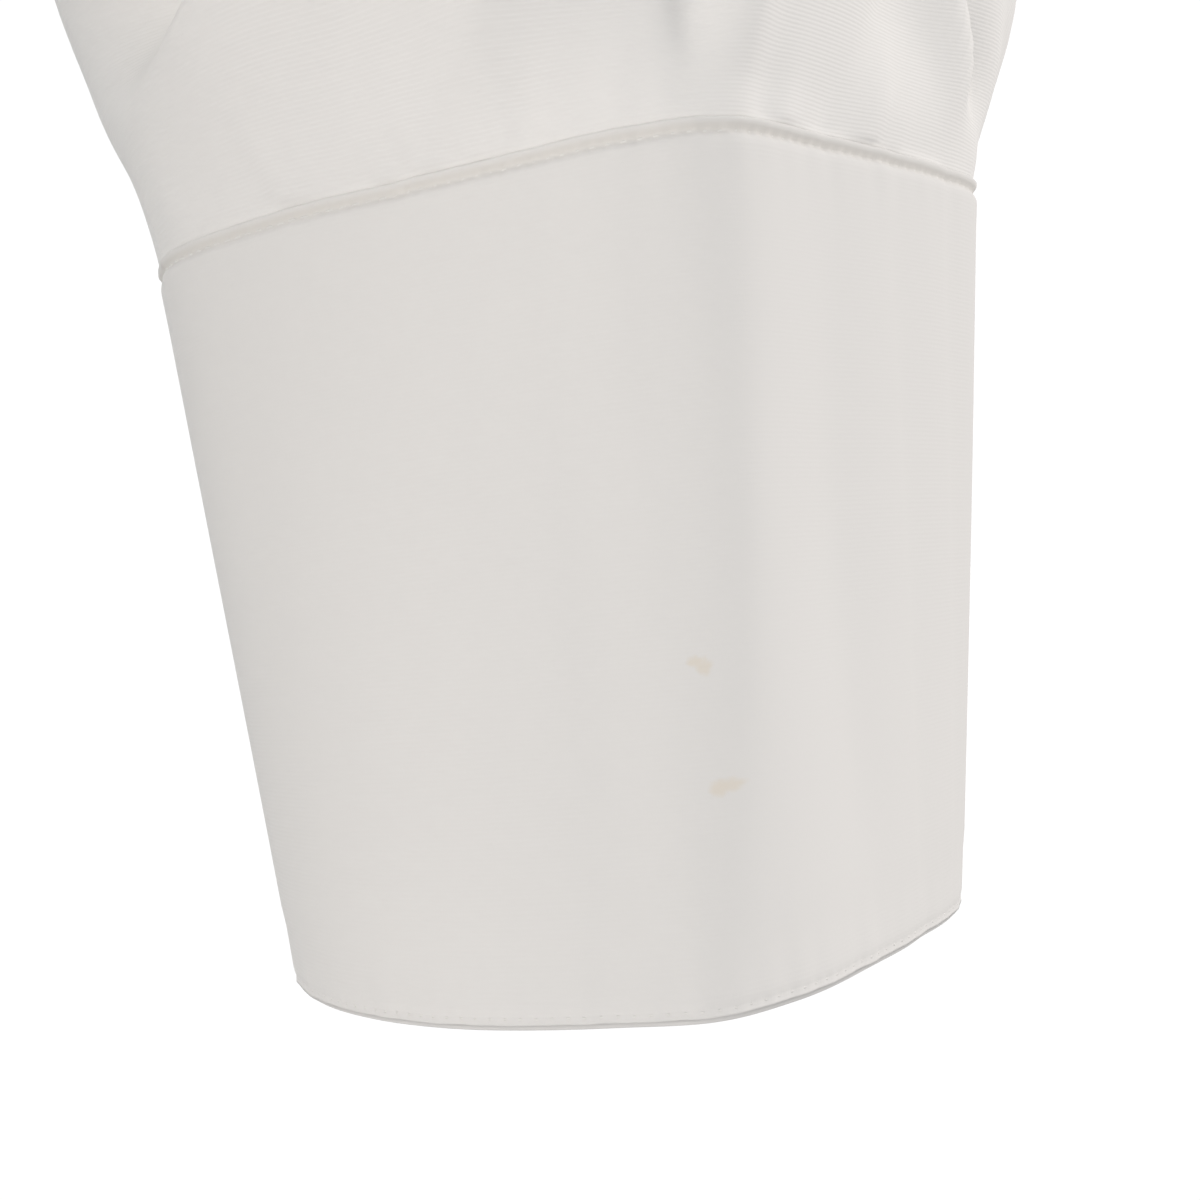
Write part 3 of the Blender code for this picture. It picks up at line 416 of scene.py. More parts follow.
def torso(angle, height):
    """The body's outer face. angle is 0 at the centre front and a quarter turn at the
    wearer's left side; height is a row's height at the side. Each row is a superellipse,
    sin and cos raised to 2 / squareness, and the folds lift it outwards."""
    angle, height = np.broadcast_arrays(np.asarray(angle, float), height)
    sine, cosine = np.sin(angle), np.cos(angle)
    facing = cosine > 0
    middle_z = np.where(facing, body_size("front_z", height), body_size("back_z", height))
    round_off = 2 / body_size("squareness", height)
    x = body_size("half_width", height) * np.sign(sine) * np.abs(sine) ** round_off
    forward = body_depth(height, facing) * np.sign(cosine) * np.abs(cosine) ** round_off
    y = body_size("side_y", height) - forward
    z = height + (middle_z - height) * np.abs(cosine) ** body_size("dip", height)
    plain = np.stack((x, y, z), axis=-1)
    quiet = smooth((NECK - 0.004 - height) / 0.030)  # the collar holds the neck smooth
    lift = fold_height(BODY_FOLDS, angle, height, BODY_RADIUS)
    lift = lift + quiet * crease_height(BODY_CREASES, angle, height, BODY_RADIUS)
    lift = lift + quiet * cockle(plain, 0.5 * MM)
    return plain + lift[..., None] * np.stack((sine, -cosine, 0 * sine), axis=-1)


# %% [markdown]
# ## Where the body is cut
#
# A shirt's body has a back, a yoke over the shoulders and two fronts. The seams that part
# them are lines on the form: the sides, the two armholes, which are ellipses seen from
# the side, and the yoke's front and back seams. A panel's rows are level rows of the form,
# and its columns are spread between the two edges of each row.

# %% Lines on the body
FRONT_LAP = 16 * MM  # each front runs this far past the centre front
LAP_EASE = 14 * MM
YOKE_FRONT_AT_NECK = -34 * MM
ARMHOLE_FRONT, ARMHOLE_BACK = 60 * MM, 62 * MM
ARMHOLE_MIDDLE, ARMHOLE_HALF = (SHOULDER + UNDERARM) / 2, (SHOULDER - UNDERARM) / 2
SHOULDER_Y = float(body_size("side_y", SHOULDER))
YOKE_TURN = 60.0  # the yoke's back seam meets the armhole this far round from its top


def angle_at_x(x, height):
    """The angle at which the front of a row passes x."""
    share = np.abs(x) / body_size("half_width", height)
    return np.sign(x) * np.arcsin(share ** (body_size("squareness", height) / 2))


def angle_at_y(y, height):
    """The angle at which the left half of a row passes y."""
    behind = y - body_size("side_y", height)
    share = np.abs(behind) / body_depth(height, behind < 0)
    return np.arccos(-np.sign(behind) * share ** (body_size("squareness", height) / 2))


def armhole_y(turn):
    """The armhole's y at each turn: 0 is its top, and a quarter turn its front."""
    sine = np.sin(turn)
    lean = SHOULDER_Y * (1 + np.cos(turn)) / 2
    return lean - sine * np.where(sine > 0, ARMHOLE_FRONT, ARMHOLE_BACK)


def armhole_place(turn, side):
    """The armhole's (angle, height) on the body. side is 1 for left and -1 for right."""
    height = ARMHOLE_MIDDLE + ARMHOLE_HALF * np.cos(turn)
    return side * angle_at_y(armhole_y(turn), height), height


def armhole_turn(height):
    """The turn at which the front of the armhole passes a row."""
    return np.arccos(np.clip((height - ARMHOLE_MIDDLE) / ARMHOLE_HALF, -1, 1))


def panel_edge(height, back, over=0.0):
    """The angle on the left half where the front, or the back and yoke, ends on each row:
    at the side seam, then the armhole, then the yoke's front seam. over moves it back."""
    turn = armhole_turn(height)
    along_yoke = (height - SHOULDER) / (NECK - SHOULDER)
    yoke_seam = SHOULDER_Y + (YOKE_FRONT_AT_NECK - SHOULDER_Y) * along_yoke
    y = np.where(height > SHOULDER, yoke_seam, armhole_y(-turn if back else turn))
    y = np.where(height < UNDERARM, 0, y)
    return angle_at_y(y + over, height)


def armhole_rows(first, last, step=3.0):
    """Heights of rows evenly spaced round the armhole, between two turns in degrees."""
    turns = np.linspace(first, last, round((first - last) / step) + 1)
    return ARMHOLE_MIDDLE + ARMHOLE_HALF * np.cos(np.deg2rad(turns))


HEM_WIDTH = 6.0 * MM
HEM_STITCH = 4.8 * MM
hem_rows = HEM + MM * np.array((0, 0.5, 1.2, 3.0, 4.2, 4.8, 5.4, 6.0, 6.5, 7.4, 9.5))
trunk_rows = np.linspace(hem_rows[-1] + 3 * MM, UNDERARM, 104)[:-1]
neck_rows = SHOULDER + (NECK - SHOULDER) * np.linspace(0, 1, 26)[1:] ** 1.3
front_rows = joined(hem_rows, trunk_rows, armhole_rows(180, 0), neck_rows)
back_rows = joined(hem_rows, trunk_rows, armhole_rows(180, YOKE_TURN))
yoke_bottom = back_rows[-1] - YOKE_OVER - MM * np.array((0.0, -0.4, -1.0, -1.8, -2.6))
yoke_rows = joined(yoke_bottom, armhole_rows(YOKE_TURN - 3, 0), neck_rows)
print(len(front_rows), "rows up a front,", len(back_rows), "up the back")
print(len(yoke_rows), "rows up the yoke")

# %% [markdown]
# ## Felled seams
#
# In a felled seam, both allowances are folded into each other and stitched down flat. It
# shows as a band a little higher than the cloth, with a row of stitches near its edge.
# Such bands run down the sides, round the armholes, and under the arms. A band needs grid
# columns close to its edges, so `spread` sets columns at given distances from both ends
# of a row and spaces the rest evenly between them.

# %% Bands along the edges of a panel
def spread(shape, start, end, heights, near_start, near_end, count):
    """Parameters from start to end on each row: columns at the distances near_start and
    near_end, in metres from the two ends, with `count` even columns between them."""
    tiny = 0.002
    way = np.sign(end - start)

    def radians_in_a_metre(angle):
        step = shape(angle + tiny, heights) - shape(angle - tiny, heights)
        return 2 * tiny / np.linalg.norm(step, axis=-1)

    near_start, near_end = np.asarray(near_start), np.asarray(near_end)
    first = start[:, None] + (way * radians_in_a_metre(start))[:, None] * near_start
    last = end[:, None] - (way * radians_in_a_metre(end))[:, None] * near_end[::-1]
    share = np.linspace(0, 1, count + 2)[1:-1]
    middle = first[:, -1:] + share * (last[:, :1] - first[:, -1:])
    return joined(first, middle, last, axis=1)


SEAM_COLUMNS = MM * np.array((0, 0.5, 1.3, 3.8, 5.6, 6.3, 6.9, 7.4, 8.0, 9.2, 12.0))
SEAM_ROW_NEAR, SEAM_ROW_FAR = 2, 5  # the columns that carry the two rows of stitches


def armhole_distance(points, side):
    """Metres from each point to the armhole's seam, the least over a fine line of it."""
    turns = np.linspace(0, 2 * np.pi, 721)
    seam = torso(*armhole_place(turns, side))
    rows = [np.linalg.norm(row[:, None] - seam, axis=-1).min(axis=1) for row in points]
    return np.stack(rows)


def band_step(distance, width, soft=0.45 * MM):
    """1 inside a band this wide, 0 outside it, and an even fall across `soft` each way."""
    return smooth((width + soft - distance) / (2 * soft))


def lift_off(points, heights):
    """Moves a grid out along its own normals."""
    return points + np.asarray(heights)[..., None] * grid_normals(points)


def hem_thickness(heights):
    """The hem is turned up twice inside, so it is three layers thick."""
    return CLOTH + 0.75 * MM * band_step(heights - HEM, HEM_WIDTH)


def hem_groove(heights):
    """The row of stitches pulls the hem's outer face in a little."""
    return -0.14 * MM * bell(heights - HEM - HEM_STITCH, 0.7 * MM)


# %% [markdown]
# ## Cotton, thread and mother-of-pearl
#
# White poplin scatters light almost evenly. Its weave shows only close up: each weft
# thread is a rib a little under half a millimetre wide, and its thickness wanders, which
# gives slubs. Both are bumps on the UV map in metres. Large soft noise varies the colour
# by a few hundredths, as washed cotton does.

# %% Node helpers
def new_material(name, **inputs):
    """A material whose Principled shader has these inputs."""
    material = bpy.data.materials.new(name)
    material.use_nodes = True
    shader = material.node_tree.nodes["Principled BSDF"]
    for socket, value in inputs.items():
        shader.inputs[socket.replace("_", " ")].default_value = value
    return material, shader


def add_node(material, kind, **settings):
    """A node of a material or the world, its settings and sockets set by name, or a socket
    by number as i0, i1 and so on. A value that is another node's output is joined to it."""
    node = material.node_tree.nodes.new("ShaderNode" + kind)
    for name, value in settings.items():
        if hasattr(node, name):
            setattr(node, name, value)
            continue
        by_number = name[1:].isdigit()
        socket = node.inputs[int(name[1:]) if by_number else name.replace("_", " ")]
        if isinstance(value, bpy.types.NodeSocket):
            material.node_tree.links.new(value, socket)
        else:
            socket.default_value = value
    return node


def math(material, operation, first, second=0.0):
    return add_node(material, "Math", operation=operation, i0=first, i1=second).outputs[0]


# %% The cloth's colours
COTTON_WHITE = (0.865, 0.853, 0.835)
COTTON_SHADE = (0.835, 0.825, 0.81)
CUFF_PAINTED_SHADE = 0.935  # painted shade: the cuffs are darker so that the sleeve above them reads brighter
STAIN = (0.775, 0.728, 0.655, 1)
# The colour of painted shade in the groove under a cuff's upper edge.
PAINTED_GROOVE_SHADE = (0.73, 0.71, 0.678, 1)


def blend(material, share, under, over):
    """`over` laid on `under`, both colours or colour outputs, where share is 1."""
    mix = add_node(material, "Mix", data_type="RGBA", i0=share, i6=under, i7=over)
    return mix.outputs[2]


def fading(material, distance, start, stop, most=0.9):
    """`most` up to the distance `start`, then a smooth fall to 0 at `stop`."""
    settings = dict(Value=distance, From_Min=start, From_Max=stop, To_Min=most, To_Max=0.0)
    kind = "MapRange"
    return add_node(material, kind, interpolation_type="SMOOTHSTEP", **settings).outputs[0]


def noise_on(material, uv, scale, detail):
    """Noise on the UV map, drawn out by a Mapping node of this scale."""
    mapped = add_node(material, "Mapping", Vector=uv, Scale=scale).outputs[0]
    noise = add_node(material, "TexNoise", Vector=mapped, Scale=1.0, Detail=detail)
    return noise.outputs["Fac"]


def stained(material, uv, colour, place):
    """A spot with a ragged outline: its distance from the middle, plus noise, fades it."""
    u, v, half_width, half_length = place
    settings = dict(Vector=uv, Location=(u, v, 0), Scale=(half_width, half_length, 1))
    mapping = add_node(material, "Mapping", vector_type="TEXTURE", **settings)
    spot = mapping.outputs[0]
    noise = add_node(material, "TexNoise", Vector=spot, Scale=1.4, Detail=3.0)
    length = add_node(material, "VectorMath", operation="LENGTH", i0=spot)
    ragged = math(material, "MULTIPLY", noise.outputs["Fac"], 0.9)
    distance = math(material, "ADD", length.outputs["Value"], ragged)
    return blend(material, fading(material, distance, 0.75, 1.5), colour, STAIN)


def painted_shade_line(material, uv, colour, place):
    """Painted shade: a greyed line at one height of the UV map, in the groove along an edge."""
    middle, half_width = place
    height = add_node(material, "SeparateXYZ", Vector=uv).outputs["Y"]
    away = math(material, "ABSOLUTE", math(material, "SUBTRACT", height, middle))
    return blend(material, fading(material, away, 0.0, half_width), colour, PAINTED_GROOVE_SHADE)


# %% The cloth's material
RIB = 0.43 * MM  # from one weft thread to the next
WARP = 0.27 * MM
WAVE = 2 * np.pi / 20  # a wave texture of scale 1 repeats after this length


def weave(material, uv):
    """Weft ribs, with slubs, finer warp threads and grain added."""
    kind = "TexWave"
    wander = dict(Distortion=0.4, Detail=1.0, Detail_Scale=0.35)
    weft = add_node(material, kind, bands_direction="Y", Vector=uv, Scale=WAVE / RIB, **wander)
    warp = add_node(material, kind, bands_direction="X", Vector=uv, Scale=WAVE / WARP)
    slub = noise_on(material, uv, (150, 2100, 1), 2.0)
    grain = noise_on(material, uv, (3300, 900, 1), 1.0)
    ribs = weft.outputs["Fac"]
    for finer, share in ((slub, 0.35), (warp.outputs["Fac"], 0.2), (grain, 0.25)):
        ribs = math(material, "ADD", ribs, math(material, "MULTIPLY", finer, share))
    return ribs


def cotton_material(name, rib_height, tone=1.0, stains=(), shade_band=None):
    """White poplin, its colours times tone; a tone under 1 is painted shade. Each stain is (u, v,
    half width, half length) on the UV map, and the last argument is the v and the half width of a
    line of painted shade along an edge."""
    material, shader = new_material(
        name, Roughness=0.88, Specular_IOR_Level=0.22, Sheen_Weight=0.12, Sheen_Roughness=0.45
    )
    uv = add_node(material, "UVMap", uv_map="cloth").outputs[0]
    bump_settings = dict(Height=weave(material, uv), Strength=1.0, Distance=rib_height)
    bump = add_node(material, "Bump", **bump_settings)
    material.node_tree.links.new(bump.outputs[0], shader.inputs["Normal"])

    patches = noise_on(material, uv, (14, 14, 1), 3.0)
    shade, white = ((*(tone * value for value in rgb), 1) for rgb in (COTTON_SHADE, COTTON_WHITE))
    colour = blend(material, patches, shade, white)
    for place in stains:
        colour = stained(material, uv, colour, place)
    # painted shade in the groove under the upper edge
    if shade_band:
        colour = painted_shade_line(material, uv, colour, shade_band)
    material.node_tree.links.new(colour, shader.inputs["Base Color"])
    return material


cotton = cotton_material("white cotton poplin", 0.018 * MM)
thread = new_material("white sewing thread", Base_Color=(0.80, 0.79, 0.77, 1), Roughness=0.75)[0]
pearl = new_material(
    "pearl button",
    Base_Color=(0.84, 0.83, 0.78, 1),
    Roughness=0.22,
    Coat_Weight=0.4,
    Coat_Roughness=0.12,
)[0]
print("materials:", cotton.name, "/", thread.name, "/", pearl.name)

# %% [markdown]
# ## Stitches
#
# A row of lockstitch is a line of short bars that dive into the cloth at both ends. Each
# bar here is fourteen points: two tips and three square rings, bent so that the middle
# stands proud. A row follows a line of the cloth's own grid, so the stitches lie on the
# mesh and not under it. The bars of a whole piece are one object.

# %% A row of stitches
PITCH = 2.3 * MM  # from one stitch to the next
CUFF_PITCH = 1.42 * MM
CUFF_STITCH = 1.1 * MM  # from the cuff's edge to its row of stitches
BAR_SIDES = 4
PROUD = 0.05 * MM  # a stitch line's middle stands this far off the cloth


def resample(points, others, spacing):
    """(points, others, tangents) at even distances along a line, half a step from its ends."""
    step = np.linalg.norm(np.diff(points, axis=0), axis=1)
    along = joined((0,), np.cumsum(step))
    count = max(1, round(along[-1] / spacing))
    at = (np.arange(count) + 0.5) * along[-1] / count

    def read(values, where):
        return np.stack([np.interp(where, along, values[:, i]) for i in range(3)], axis=1)

    ahead = read(points, at + spacing * 0.3) - read(points, at - spacing * 0.3)
    return read(points, at), unit(read(others, at)), unit(ahead)


def stitch_bars(lines, pitch, radius):
    """(points, faces) of the bars along lines, each a pair (points, outward normals)."""
    rows = [resample(points, out, pitch) for points, out in lines]
    middle, out, ahead = (np.concatenate(items) for items in zip(*rows))
    across = np.cross(out, ahead)
    half = 0.46 * pitch
    place = np.array((-0.55, 0, 0.55)) * half
    spin = np.arange(BAR_SIDES) * 2 * np.pi / BAR_SIDES + np.pi / 4
    ring_along = np.repeat(place, BAR_SIDES)
    thick = np.repeat((0.85, 1.0, 0.85), BAR_SIDES) * radius
    ring_across = thick * np.tile(np.cos(spin), 3) * 1.25
    ring_out = thick * np.tile(np.sin(spin), 3) - 0.35 * radius * np.repeat((1, 0, 1), BAR_SIDES)
    bar = np.stack(
        (
            joined((-half,), ring_along, (half,)),
            joined((0,), ring_across, (0,)),
            joined((-1.6 * radius,), ring_out, (-1.6 * radius,)),
        ),
        axis=1,
    )
    axes = np.stack((ahead, across, out), axis=1)
    points = middle[:, None] + bar @ axes
    s = 1 + np.arange(BAR_SIDES)
    t = 1 + s % BAR_SIDES
    last = len(bar) - 1
    groups = [
        np.stack((k + s, k + t, k + BAR_SIDES + t, k + BAR_SIDES + s), axis=1)
        for k in (0, BAR_SIDES)
    ]
    groups.append(np.stack((0 * s, t, s), 1))
    groups.append(np.stack((0 * s + last, 2 * BAR_SIDES + s, 2 * BAR_SIDES + t), 1))
    start = (np.arange(len(middle)) * len(bar))[:, None, None]
    faces = [(group + start).reshape(-1, group.shape[1]).tolist() for group in groups]
    return points.reshape(-1, 3), sum(faces, [])


def sew(piece, lines, pitch=PITCH, radius=0.15 * MM):
    """Adds the rows of stitches of one piece, as one object."""
    points, faces = stitch_bars(lines, pitch, radius)
    declare(add_mesh(f"stitches_{piece}", points, faces, None, thread))


def grid_line(points, row=slice(None), across=slice(None), lift=PROUD, inside=0.0):
    """One row or column of a grid as a line for stitches, on its outer face or, with
    `inside` as the cloth's thickness, on its inner face."""
    out = grid_normals(points)
    line, way = points[row, across], out[row, across]
    if inside:
        return line - (inside + lift) * way, -way
    return line + lift * way, way


# %% [markdown]
# ## Back and yoke
#
# The back is one piece of cloth from side seam to side seam, cut with a little room over
# the body. The yoke is cut double and lies over the back and over the tops of the fronts,
# so it stands a layer proud of both, with an edge stitch along its seams.

# %% Back
def round_the_back(shape, heights, over, count):
    """Angles from the left edge of the back or yoke, round the back, to the right edge."""
    edge = panel_edge(heights, back=True, over=over)
    return spread(shape, edge, 2 * np.pi - edge, heights, SEAM_COLUMNS, SEAM_COLUMNS, count)


def surface_area(points):
    """Square metres of a grid, as the sum of its cells' half cross products."""
    a = points[1:, 1:] - points[:-1, :-1]
    b = points[1:, :-1] - points[:-1, 1:]
    return float(np.linalg.norm(np.cross(a, b), axis=-1).sum() / 2)


def report_cut(name, points, cut):
    print(f"{name}: {surface_area(points):.4f} m2 of cloth, cut {cut[0]:.3f} x {cut[1]:.3f} m")


def back_panel(angles, heights, extra_lift=0.0):
    """(points, heights) of the back or the yoke, which meet both armholes' felled seams."""
    level = np.repeat(heights[:, None], angles.shape[1], axis=1)
    points = torso(angles, level)
    lift = extra_lift + hem_groove(level)
    for side in SIDES.values():
        lift = lift + FELL_HEIGHT * band_step(armhole_distance(points, side), FELL_WIDTH)
    return lift_off(points, lift), level


FELL_ROWS = 1.3 * MM, FELL_WIDTH - 1.1 * MM  # a felled seam's two rows of stitches


def armhole_stitches(turns, side, distance):
    """A row of stitches beside the armhole, `distance` metres out from its seam. The step
    across the cloth is turned into steps of angle and height by the form's two slopes."""
    tiny = 1e-3
    angle, height = armhole_place(turns, side)
    by_angle = (torso(angle + tiny, height) - torso(angle - tiny, height)) / (2 * tiny)
    by_height = (torso(angle, height + tiny) - torso(angle, height - tiny)) / (2 * tiny)
    out = unit(np.cross(by_angle, by_height))
    ahead = unit(np.gradient(torso(angle, height), axis=0))
    move = distance * side * np.cross(out, ahead)
    a, b, c = (by_angle**2).sum(-1), (by_angle * by_height).sum(-1), (by_height**2).sum(-1)
    p, q = (move * by_angle).sum(-1), (move * by_height).sum(-1)
    scale = a * c - b * b
    angle, height = angle + (c * p - b * q) / scale, height + (a * q - b * p) / scale
    inside = height < NECK
    out = normals(torso, angle[inside], height[inside])
    return torso(angle[inside], height[inside]) + (FELL_HEIGHT + PROUD) * out, out


def felled_armhole(first, last, sides=tuple(SIDES.values())):
    """Both rows of a felled armhole between two turns in degrees."""
    turns = np.deg2rad(np.linspace(first, last, round(abs(last - first)) + 1))
    return [armhole_stitches(turns, side, distance) for side in sides for distance in FELL_ROWS]


back_angles = round_the_back(torso, back_rows, 0.0, 130)
back_points, level = back_panel(back_angles, back_rows)
back = shell("back", back_points, cotton, hem_thickness(level))
HEM_STITCH_ROW = 5
sew("back", [grid_line(back_points, row=HEM_STITCH_ROW), *felled_armhole(181, 300)])
BACK_CUT = (0.500, 0.720)
report_cut("back", back_points, BACK_CUT)

# %% Yoke
def yoke_overlap(heights):
    """The yoke's front edges run a little forward, over the fronts, above the armholes."""
    return -YOKE_OVER * smooth((heights - SHOULDER) / (4 * MM))


yoke_angles = round_the_back(torso, yoke_rows, yoke_overlap(yoke_rows), 118)
from_seam = (yoke_rows - yoke_rows[0])[:, None]
yoke_lift = YOKE_LIFT + 0.12 * MM - 0.14 * MM * bell(from_seam - 1.8 * MM, 0.7 * MM)
yoke_points, level = back_panel(yoke_angles, yoke_rows, yoke_lift)
yoke = shell("yoke", yoke_points, cotton, CLOTH + 0.25 * MM)
YOKE_STITCH_ROW = 3
above = yoke_rows > SHOULDER
yoke_sides = SEAM_ROW_NEAR, -1 - SEAM_ROW_NEAR
yoke_edges = [grid_line(yoke_points, above, across) for across in yoke_sides]
sew("yoke", [grid_line(yoke_points, row=YOKE_STITCH_ROW), *yoke_edges, *felled_armhole(300, 359)])
YOKE_CUT = (0.490, 0.190)
report_cut("yoke", yoke_points, YOKE_CUT)

# %% [markdown]
# ## Fronts
#
# Both fronts run past the middle. The left one carries the placket band and lies over the
# right one. At the side, the front's seam allowance laps over the back and is felled.

# %% Left and right fronts
FRONT_OVER = 1.0 * MM  # the front laps over the back at the side seam
UNDERLAP = 1.3 * MM  # the right front lies this far inside


def front_grid(side):
    """Angles from the lapped edge to the side, sorted by angle on both sides."""
    over = FRONT_OVER * smooth((UNDERARM - front_rows) / (8 * MM))
    edge = panel_edge(front_rows, back=False, over=over)
    start = angle_at_x(-FRONT_LAP, front_rows)
    lap = MM * np.array((0, 0.8, 2.0, 8.0, 16.0, 24.0, 30.0, 32.0, 36.0))
    angles = spread(torso, start, edge, front_rows, lap, SEAM_COLUMNS, 74)
    return np.sort(side * angles, axis=1)


def front_panel(side):
    """(points, heights) of a front, felled at its side seam and its armhole."""
    angles = front_grid(side)
    level = np.repeat(front_rows[:, None], angles.shape[1], axis=1)
    shift = 0.0 * level
    if side < 0:
        x = torso(angles, level)[..., 0]
        shift = UNDERLAP * smooth((x + FRONT_LAP + LAP_EASE) / LAP_EASE)
    points = torso(angles, level) - shift[..., None] * normals(torso, angles, level)
    from_side = along_grid(points[:, ::-side], 1)[:, ::-side]
    at_side = band_step(from_side, FELL_WIDTH - 1 * MM) * smooth((UNDERARM - level) / (10 * MM))
    at_armhole = band_step(armhole_distance(points, side), FELL_WIDTH)
    lift = FELL_HEIGHT * np.maximum(at_side, at_armhole) + hem_groove(level)
    return lift_off(points, lift), level


def side_column(side, number):
    """The index of the grid's column that is `number` from the side seam."""
    return -1 - number if side > 0 else number


fronts = {}
FRONT_CUT = (0.290, 0.770)
for word, side in SIDES.items():
    name = f"front_{word}"
    points, level = front_panel(side)
    fronts[word] = shell(name, points, cotton, hem_thickness(level))
    below = front_rows < UNDERARM - 6 * MM
    columns = [side_column(side, number) for number in (SEAM_ROW_NEAR, SEAM_ROW_FAR)]
    seams = [grid_line(points, below, across) for across in columns]
    sew(name, [grid_line(points, row=HEM_STITCH_ROW), *seams, *felled_armhole(179, 1, (side,))])
    report_cut(name, points, FRONT_CUT)

# %% [markdown]
# ## Front placket
#
# A strip 32 mm wide, folded on both edges and stitched 6 mm in from each. It lies on the
# left front from the neck seam to the hem, and its two stitch rows pull shallow grooves.

# %% Front placket
PLACKET_STITCH = 6 * MM
BAND_OFF = 0.05 * MM
# The columns' distances from its middle, in millimetres.
placket_half = np.array((2, 5, 8, 9.4, 10, 10.6, 12, 14, 15.2, 15.8, 16))
placket_x = MM * joined(-placket_half[::-1], placket_half)
PLACKET_STITCH_COLUMNS = 6, 15
placket_angles = np.stack([angle_at_x(x, front_rows) for x in placket_x], axis=1)
placket_level = np.repeat(front_rows[:, None], len(placket_x), axis=1)
edge_groove = bell(np.abs(placket_x) - (FRONT_LAP - PLACKET_STITCH), 0.8 * MM)
band_lift = BAND_OFF + BAND - 0.2 * MM * edge_groove + 0 * placket_level
placket_points = torso(placket_angles, placket_level)
placket_out = normals(torso, placket_angles, placket_level)
placket_points = placket_points + band_lift[..., None] * placket_out
front_placket = shell("front_placket", placket_points, cotton, BAND)
lines = [
    grid_line(placket_points, across=number, lift=0.04 * MM)
    for number in PLACKET_STITCH_COLUMNS
]
sew("front_placket", lines)
PLACKET_CUT = (0.032, 0.700)
report_cut("front_placket", placket_points, PLACKET_CUT)

# %% [markdown]
# ## Sleeves
#
# A sleeve is a loft too. Its rings fan out of the armhole, because the cloth is long over
# the shoulder and short under the arm, and then run down to the wrist. Close to the
# armhole the ring takes the armhole's own outline, and close to the cuff the cuff's, so
# each seam meets. The sleeve is wider than the wrist, and that fullness is what folds
# over the cuff.

# %% Sleeve sections
Ring = namedtuple("Ring", "along top_x top_z bottom_x bottom_z front back centre_y")
SLEEVE = tuple(map(Ring._make, (
    (0.000, 0.2145, -0.048, 0.2130, -0.265, 0.060, 0.062, -0.005),  # armhole
    (0.025, 0.2440, -0.053, 0.2150, -0.268, 0.063, 0.065, -0.003),
    (0.052, 0.2690, -0.066, 0.2175, -0.272, 0.066, 0.068, -0.001),
    (0.085, 0.2940, -0.090, 0.2205, -0.279, 0.068, 0.070, 0.000),
    (0.125, 0.3130, -0.128, 0.2240, -0.289, 0.068, 0.071, 0.000),
    (0.175, 0.3270, -0.176, 0.2285, -0.305, 0.066, 0.070, 0.001),
    (0.230, 0.3380, -0.232, 0.2350, -0.334, 0.063, 0.067, 0.001),
    (0.290, 0.3475, -0.292, 0.2430, -0.367, 0.060, 0.063, 0.000),
    (0.350, 0.3555, -0.352, 0.2510, -0.407, 0.057, 0.059, -0.001),  # elbow
    (0.410, 0.3620, -0.412, 0.2590, -0.447, 0.055, 0.056, -0.005),
    (0.465, 0.3690, -0.468, 0.2645, -0.487, 0.0500, 0.0525, -0.010),
    (0.505, 0.3740, -0.508, 0.2680, -0.520, 0.0460, 0.0495, -0.013),
    (0.535, 0.3765, -0.538, 0.2735, -0.545, 0.0405, 0.0450, -0.016),
    (0.555, 0.3735, -0.557, 0.2795, -0.562, 0.0355, 0.0385, -0.017),
    (0.572, 0.3660, -0.573, 0.2840, -0.576, 0.032, 0.032, -0.018),  # cuff seam
)))
SLEEVE_END = SLEEVE[-1].along
ARMHOLE_FADE = 0.120  # the armhole's own shape has faded out this far down the sleeve
CUFF_FADE = 0.100  # and the cuff's shape this far up from the cuff
ARM_RADIUS = 0.055
SLIT_TURN = 307.5  # degrees round the arm: the back of the wrist, on the outer side
SLIT_WIDTH = 3 * MM
SLIT_LENGTH = 120 * MM
SLEEVE_PLACKET_LENGTH = 150 * MM
SLEEVE_PLACKET_PEAK = 14 * MM  # height of its pointed top
SLIT_TOP = SLEEVE_END - SLIT_LENGTH
PLACKET_SHOULDER = SLEEVE_END - SLEEVE_PLACKET_LENGTH
PLACKET_TIP = PLACKET_SHOULDER - SLEEVE_PLACKET_PEAK

# %% Folds of the two sleeves
LEFT_FOLDS = rows_of(
    Fold,
    # under the arm
    (128, 75, 35, 40, 14, -6), (222, 85, -32, 42, 14, -5.5), (60, 110, 18, 55, 16, 4.5),
    (300, 120, -15, 60, 16, 4.5),
    # inside the elbow
    (100, 318, 68, 45, 15, -7.5), (128, 356, 82, 40, 14, -6.5), (82, 392, 62, 42, 14, -5.5),
    (285, 350, 84, 40, 18, 5),
    # forearm
    (35, 440, 24, 60, 14, -5), (170, 455, -20, 60, 15, 5.5), (246, 470, 14, 55, 14, -5.5),
    # fullness over the cuff
    (209, 552, 74, 24, 7, 2),
    # the hollow above it
    (187, 542.5, 74, 17, 8.5, -15),
    # and the ridge between them
    (184, 553, 77, 13, 3, 1.4), (216, 544, 60, 14, 8.5, 3.2),
    # a ridge down to the cuff
    (46, 560, -26, 18, 2.6, 1.9), (38, 560, -27, 18, 3.6, -2.6),
    # a fold behind it
    (24, 544, -20, 16, 6, 3), (98.5, 562.5, -6, 14, 3.4, -2), (90, 564, 0, 12, 3.2, 1.2),
    (128, 535, 4, 30, 12, 3.5), (58, 548, -12, 22, 10, -3), (352, 546, 12, 24, 11, 4.5),
    (270, 545, -8, 26, 10, -4.5),
)
